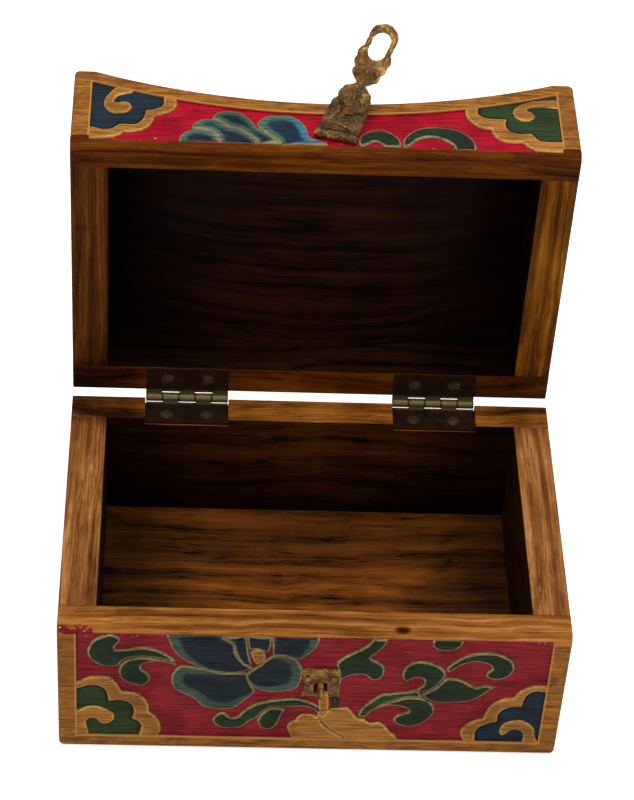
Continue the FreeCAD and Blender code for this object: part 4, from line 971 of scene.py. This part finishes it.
def ornament(panel, fit=lambda p: p, petal="blue", others="blue"):
    at = tuple(fit(np.array([HEART_AT]))[0])
    for name, text in PETALS.items():
        panel.carve(text, "petal", petal if name == "petal_right_top" else others, at, fit, PETAL_GROW)
    for name, text in LEAVES.items():
        panel.carve(text, "leaf", "green fill" if name == "sepal" else "green", None, fit)
    for name, text in (("heart", HEART), *MOUND.items()):
        panel.carve(text, "fill" if name == "mound" else "band", "ochre", None, fit)


def cloud_corner(panel, which, fill, fit=lambda p: p):
    outer, inner, curl, corner = (points_of(t) for t in CLOUDS[which])
    panel.carve(np.concatenate([inner, corner]), "fill", fill, None, fit)
    panel.carve(np.concatenate([outer, inner[::-1]]), "band", "ochre", None, fit)
    panel.carve(curl, "band", "ochre", None, fit)


def base_front(x, z, h):
    return Vector((x, -FRONT_GROUND - h, z)) * MM


def lid_front(x, z, h):
    return SWING @ base_front(x, z, h)


front = Panel("base_front_carving", base_front, (BASE_RIM, True))
ornament(front)
cloud_corner(front, "base_left", "green fill")
cloud_corner(front, "base_right", "navy fill")
front.finish("base")

front = Panel("lid_front_carving", lid_front, (LID_RIM, False))
ornament(front, petal="sky", others="dusk")
cloud_corner(front, "lid_left", "navy fill")
cloud_corner(front, "lid_right", "green fill")
front.finish("lid")

# %% [markdown]
# ## Ends and top
# The picture doesn't show the ends or the top of the lid, so these are a guess in the same style:
# a smaller flower between scrolls and clouds on the base's ends, arcs between clouds on the
# lid's ends, and the whole ornament on the hollow top. The same outlines are used again, each
# moved and scaled by a small function.

# %% End and top carvings
END_GROUND = 71.7
TOP_MIDDLE, TOP_RADIUS = 260.5, 190.3  # the arc of the sunk top
TOP_RELIEF = 0.92  # the top is carved a little flatter than the front
FLOWER = (0.55, (-20.2, 41.5), (0, 32.5))


def moved(scale, at, to, mirror=1):
    """A function that scales points about one place, brings it to another and may mirror them."""
    def fit(p):
        return (((p - at) * scale) + to) * np.array([mirror, 1])
    return fit


def base_end(side):
    return lambda u, z, h: Vector((side * (END_GROUND + h), u, z)) * MM


def lid_end(side):
    return lambda u, z, h: SWING @ base_end(side)(u, z, h)


def lid_top(x, v, h):
    ground = TOP_MIDDLE - math.sqrt(TOP_RADIUS**2 - x * x)
    return SWING @ (Vector((x, v, ground + TOP_RELIEF * h)) * MM)


for side, label in ((-1, "left"), (1, "right")):
    end = Panel(f"base_{label}_carving", base_end(side))
    flower = moved(*FLOWER)
    heart = tuple(flower(np.array([HEART_AT]))[0])
    for text in PETALS.values():
        end.carve(text, "petal", "blue", heart, flower, SMALL_GROW)
    end.carve(HEART, "band", "ochre", None, flower)
    for mirror in (1, -1):
        cloud_corner(end, "base_left", "green fill", moved(0.78, (-67.8, 4), (-37, 4.2), mirror))
        scroll = moved(0.62, (-64.1, 34.6), (-34.2, 35), mirror)
        end.carve(LEAVES["scroll_left"], "leaf", "green", None, scroll)
    end.finish("base")

    end = Panel(f"lid_{label}_carving", lid_end(side))
    for mirror in (1, -1):
        cloud_corner(end, "lid_left", "navy fill", moved(0.72, (-67.8, 77), (-37, 72.2), mirror))
        end.carve(LEAVES["arc_split"], "leaf", "green", None, moved(0.7, (21.4, 44), (1.6, 54.5), mirror))
    end.finish("lid")

top = Panel("lid_top_carving", lid_top)
ornament(top, moved(1.0, (0, 42), (0, 0)), "sky")
for which, fill in (("base_left", "green fill"), ("base_right", "navy fill")):
    cloud_corner(top, which, fill, moved(1.0, (0, 42), (0, 0)))
    cloud_corner(top, which, fill, lambda p: (p - (0, 42)) * (1, -1))
top.finish("lid")

# %% [markdown]
# ## Floor and light
# The box stands on white paper under large soft lamps. The paper lifts itself to white where the
# camera sees it, and still takes the shadow of the box.

# %% Floor and lights
def lamp(name, place, target, size, watts, colour=(1, 1, 1)):
    data = bpy.data.lights.new(name, "AREA")
    data.size, data.energy, data.color = size, watts, colour
    made = new_object(name, data)
    made.location = place
    made.rotation_euler = (Vector(target) - Vector(place)).to_track_quat("-Z", "Y").to_euler()


def background_ray(tree):
    """1 for rays from the camera, and for those that metal or glass sends on to the background."""
    path = add(tree, "LightPath").outputs
    metal_or_glass = most(tree, path["Is Glossy Ray"], path["Is Transmission Ray"])
    return most(tree, path["Is Camera Ray"], metal_or_glass)


floor_mesh = bpy.data.meshes.new("floor")
floor_mesh.from_pydata([(-4, -4, 0), (4, -4, 0), (4, 4, 0), (-4, 4, 0)], [], [(0, 1, 2, 3)])
floor = new_object("floor", floor_mesh)
floor.location.z = -0.0002
paper, tree, shader = new_material("white paper")
shader.inputs["Base Color"].default_value = (0.8, 0.8, 0.8, 1)
shader.inputs["Roughness"].default_value = 0.9
fibre = noise(tree, here(tree), 900, 2)
bump = add(tree, "Bump", {"Height": fibre, "Strength": 0.05, "Distance": 0.0002})
tree.links.new(bump.outputs[0], shader.inputs["Normal"])
shader.inputs["Emission Color"].default_value = (1, 1, 1, 1)
tree.links.new(times(tree, background_ray(tree), 0.55), shader.inputs["Emission Strength"])
floor_mesh.materials.append(paper)

lamp("overhead", (0, -0.1, 1.5), (0, 0, 0.08), 1.3, 24)
lamp("front fill", (-0.3, -1.4, 0.75), (0, 0, 0.08), 1.0, 8)
lamp("back", (0.3, 1.0, 1.2), (0, 0, 0.1), 0.8, 4)

world = bpy.data.worlds.new("studio")
bpy.context.scene.world = world
world.use_nodes = True
tree = world.node_tree
sky = tree.nodes["Background"]
sky.inputs["Color"].default_value = (1, 1, 1, 1)
tree.links.new(muladd(tree, background_ray(tree), 0.85, 0.15), sky.inputs["Strength"])
bpy.context.scene.view_settings.view_transform = "Standard"
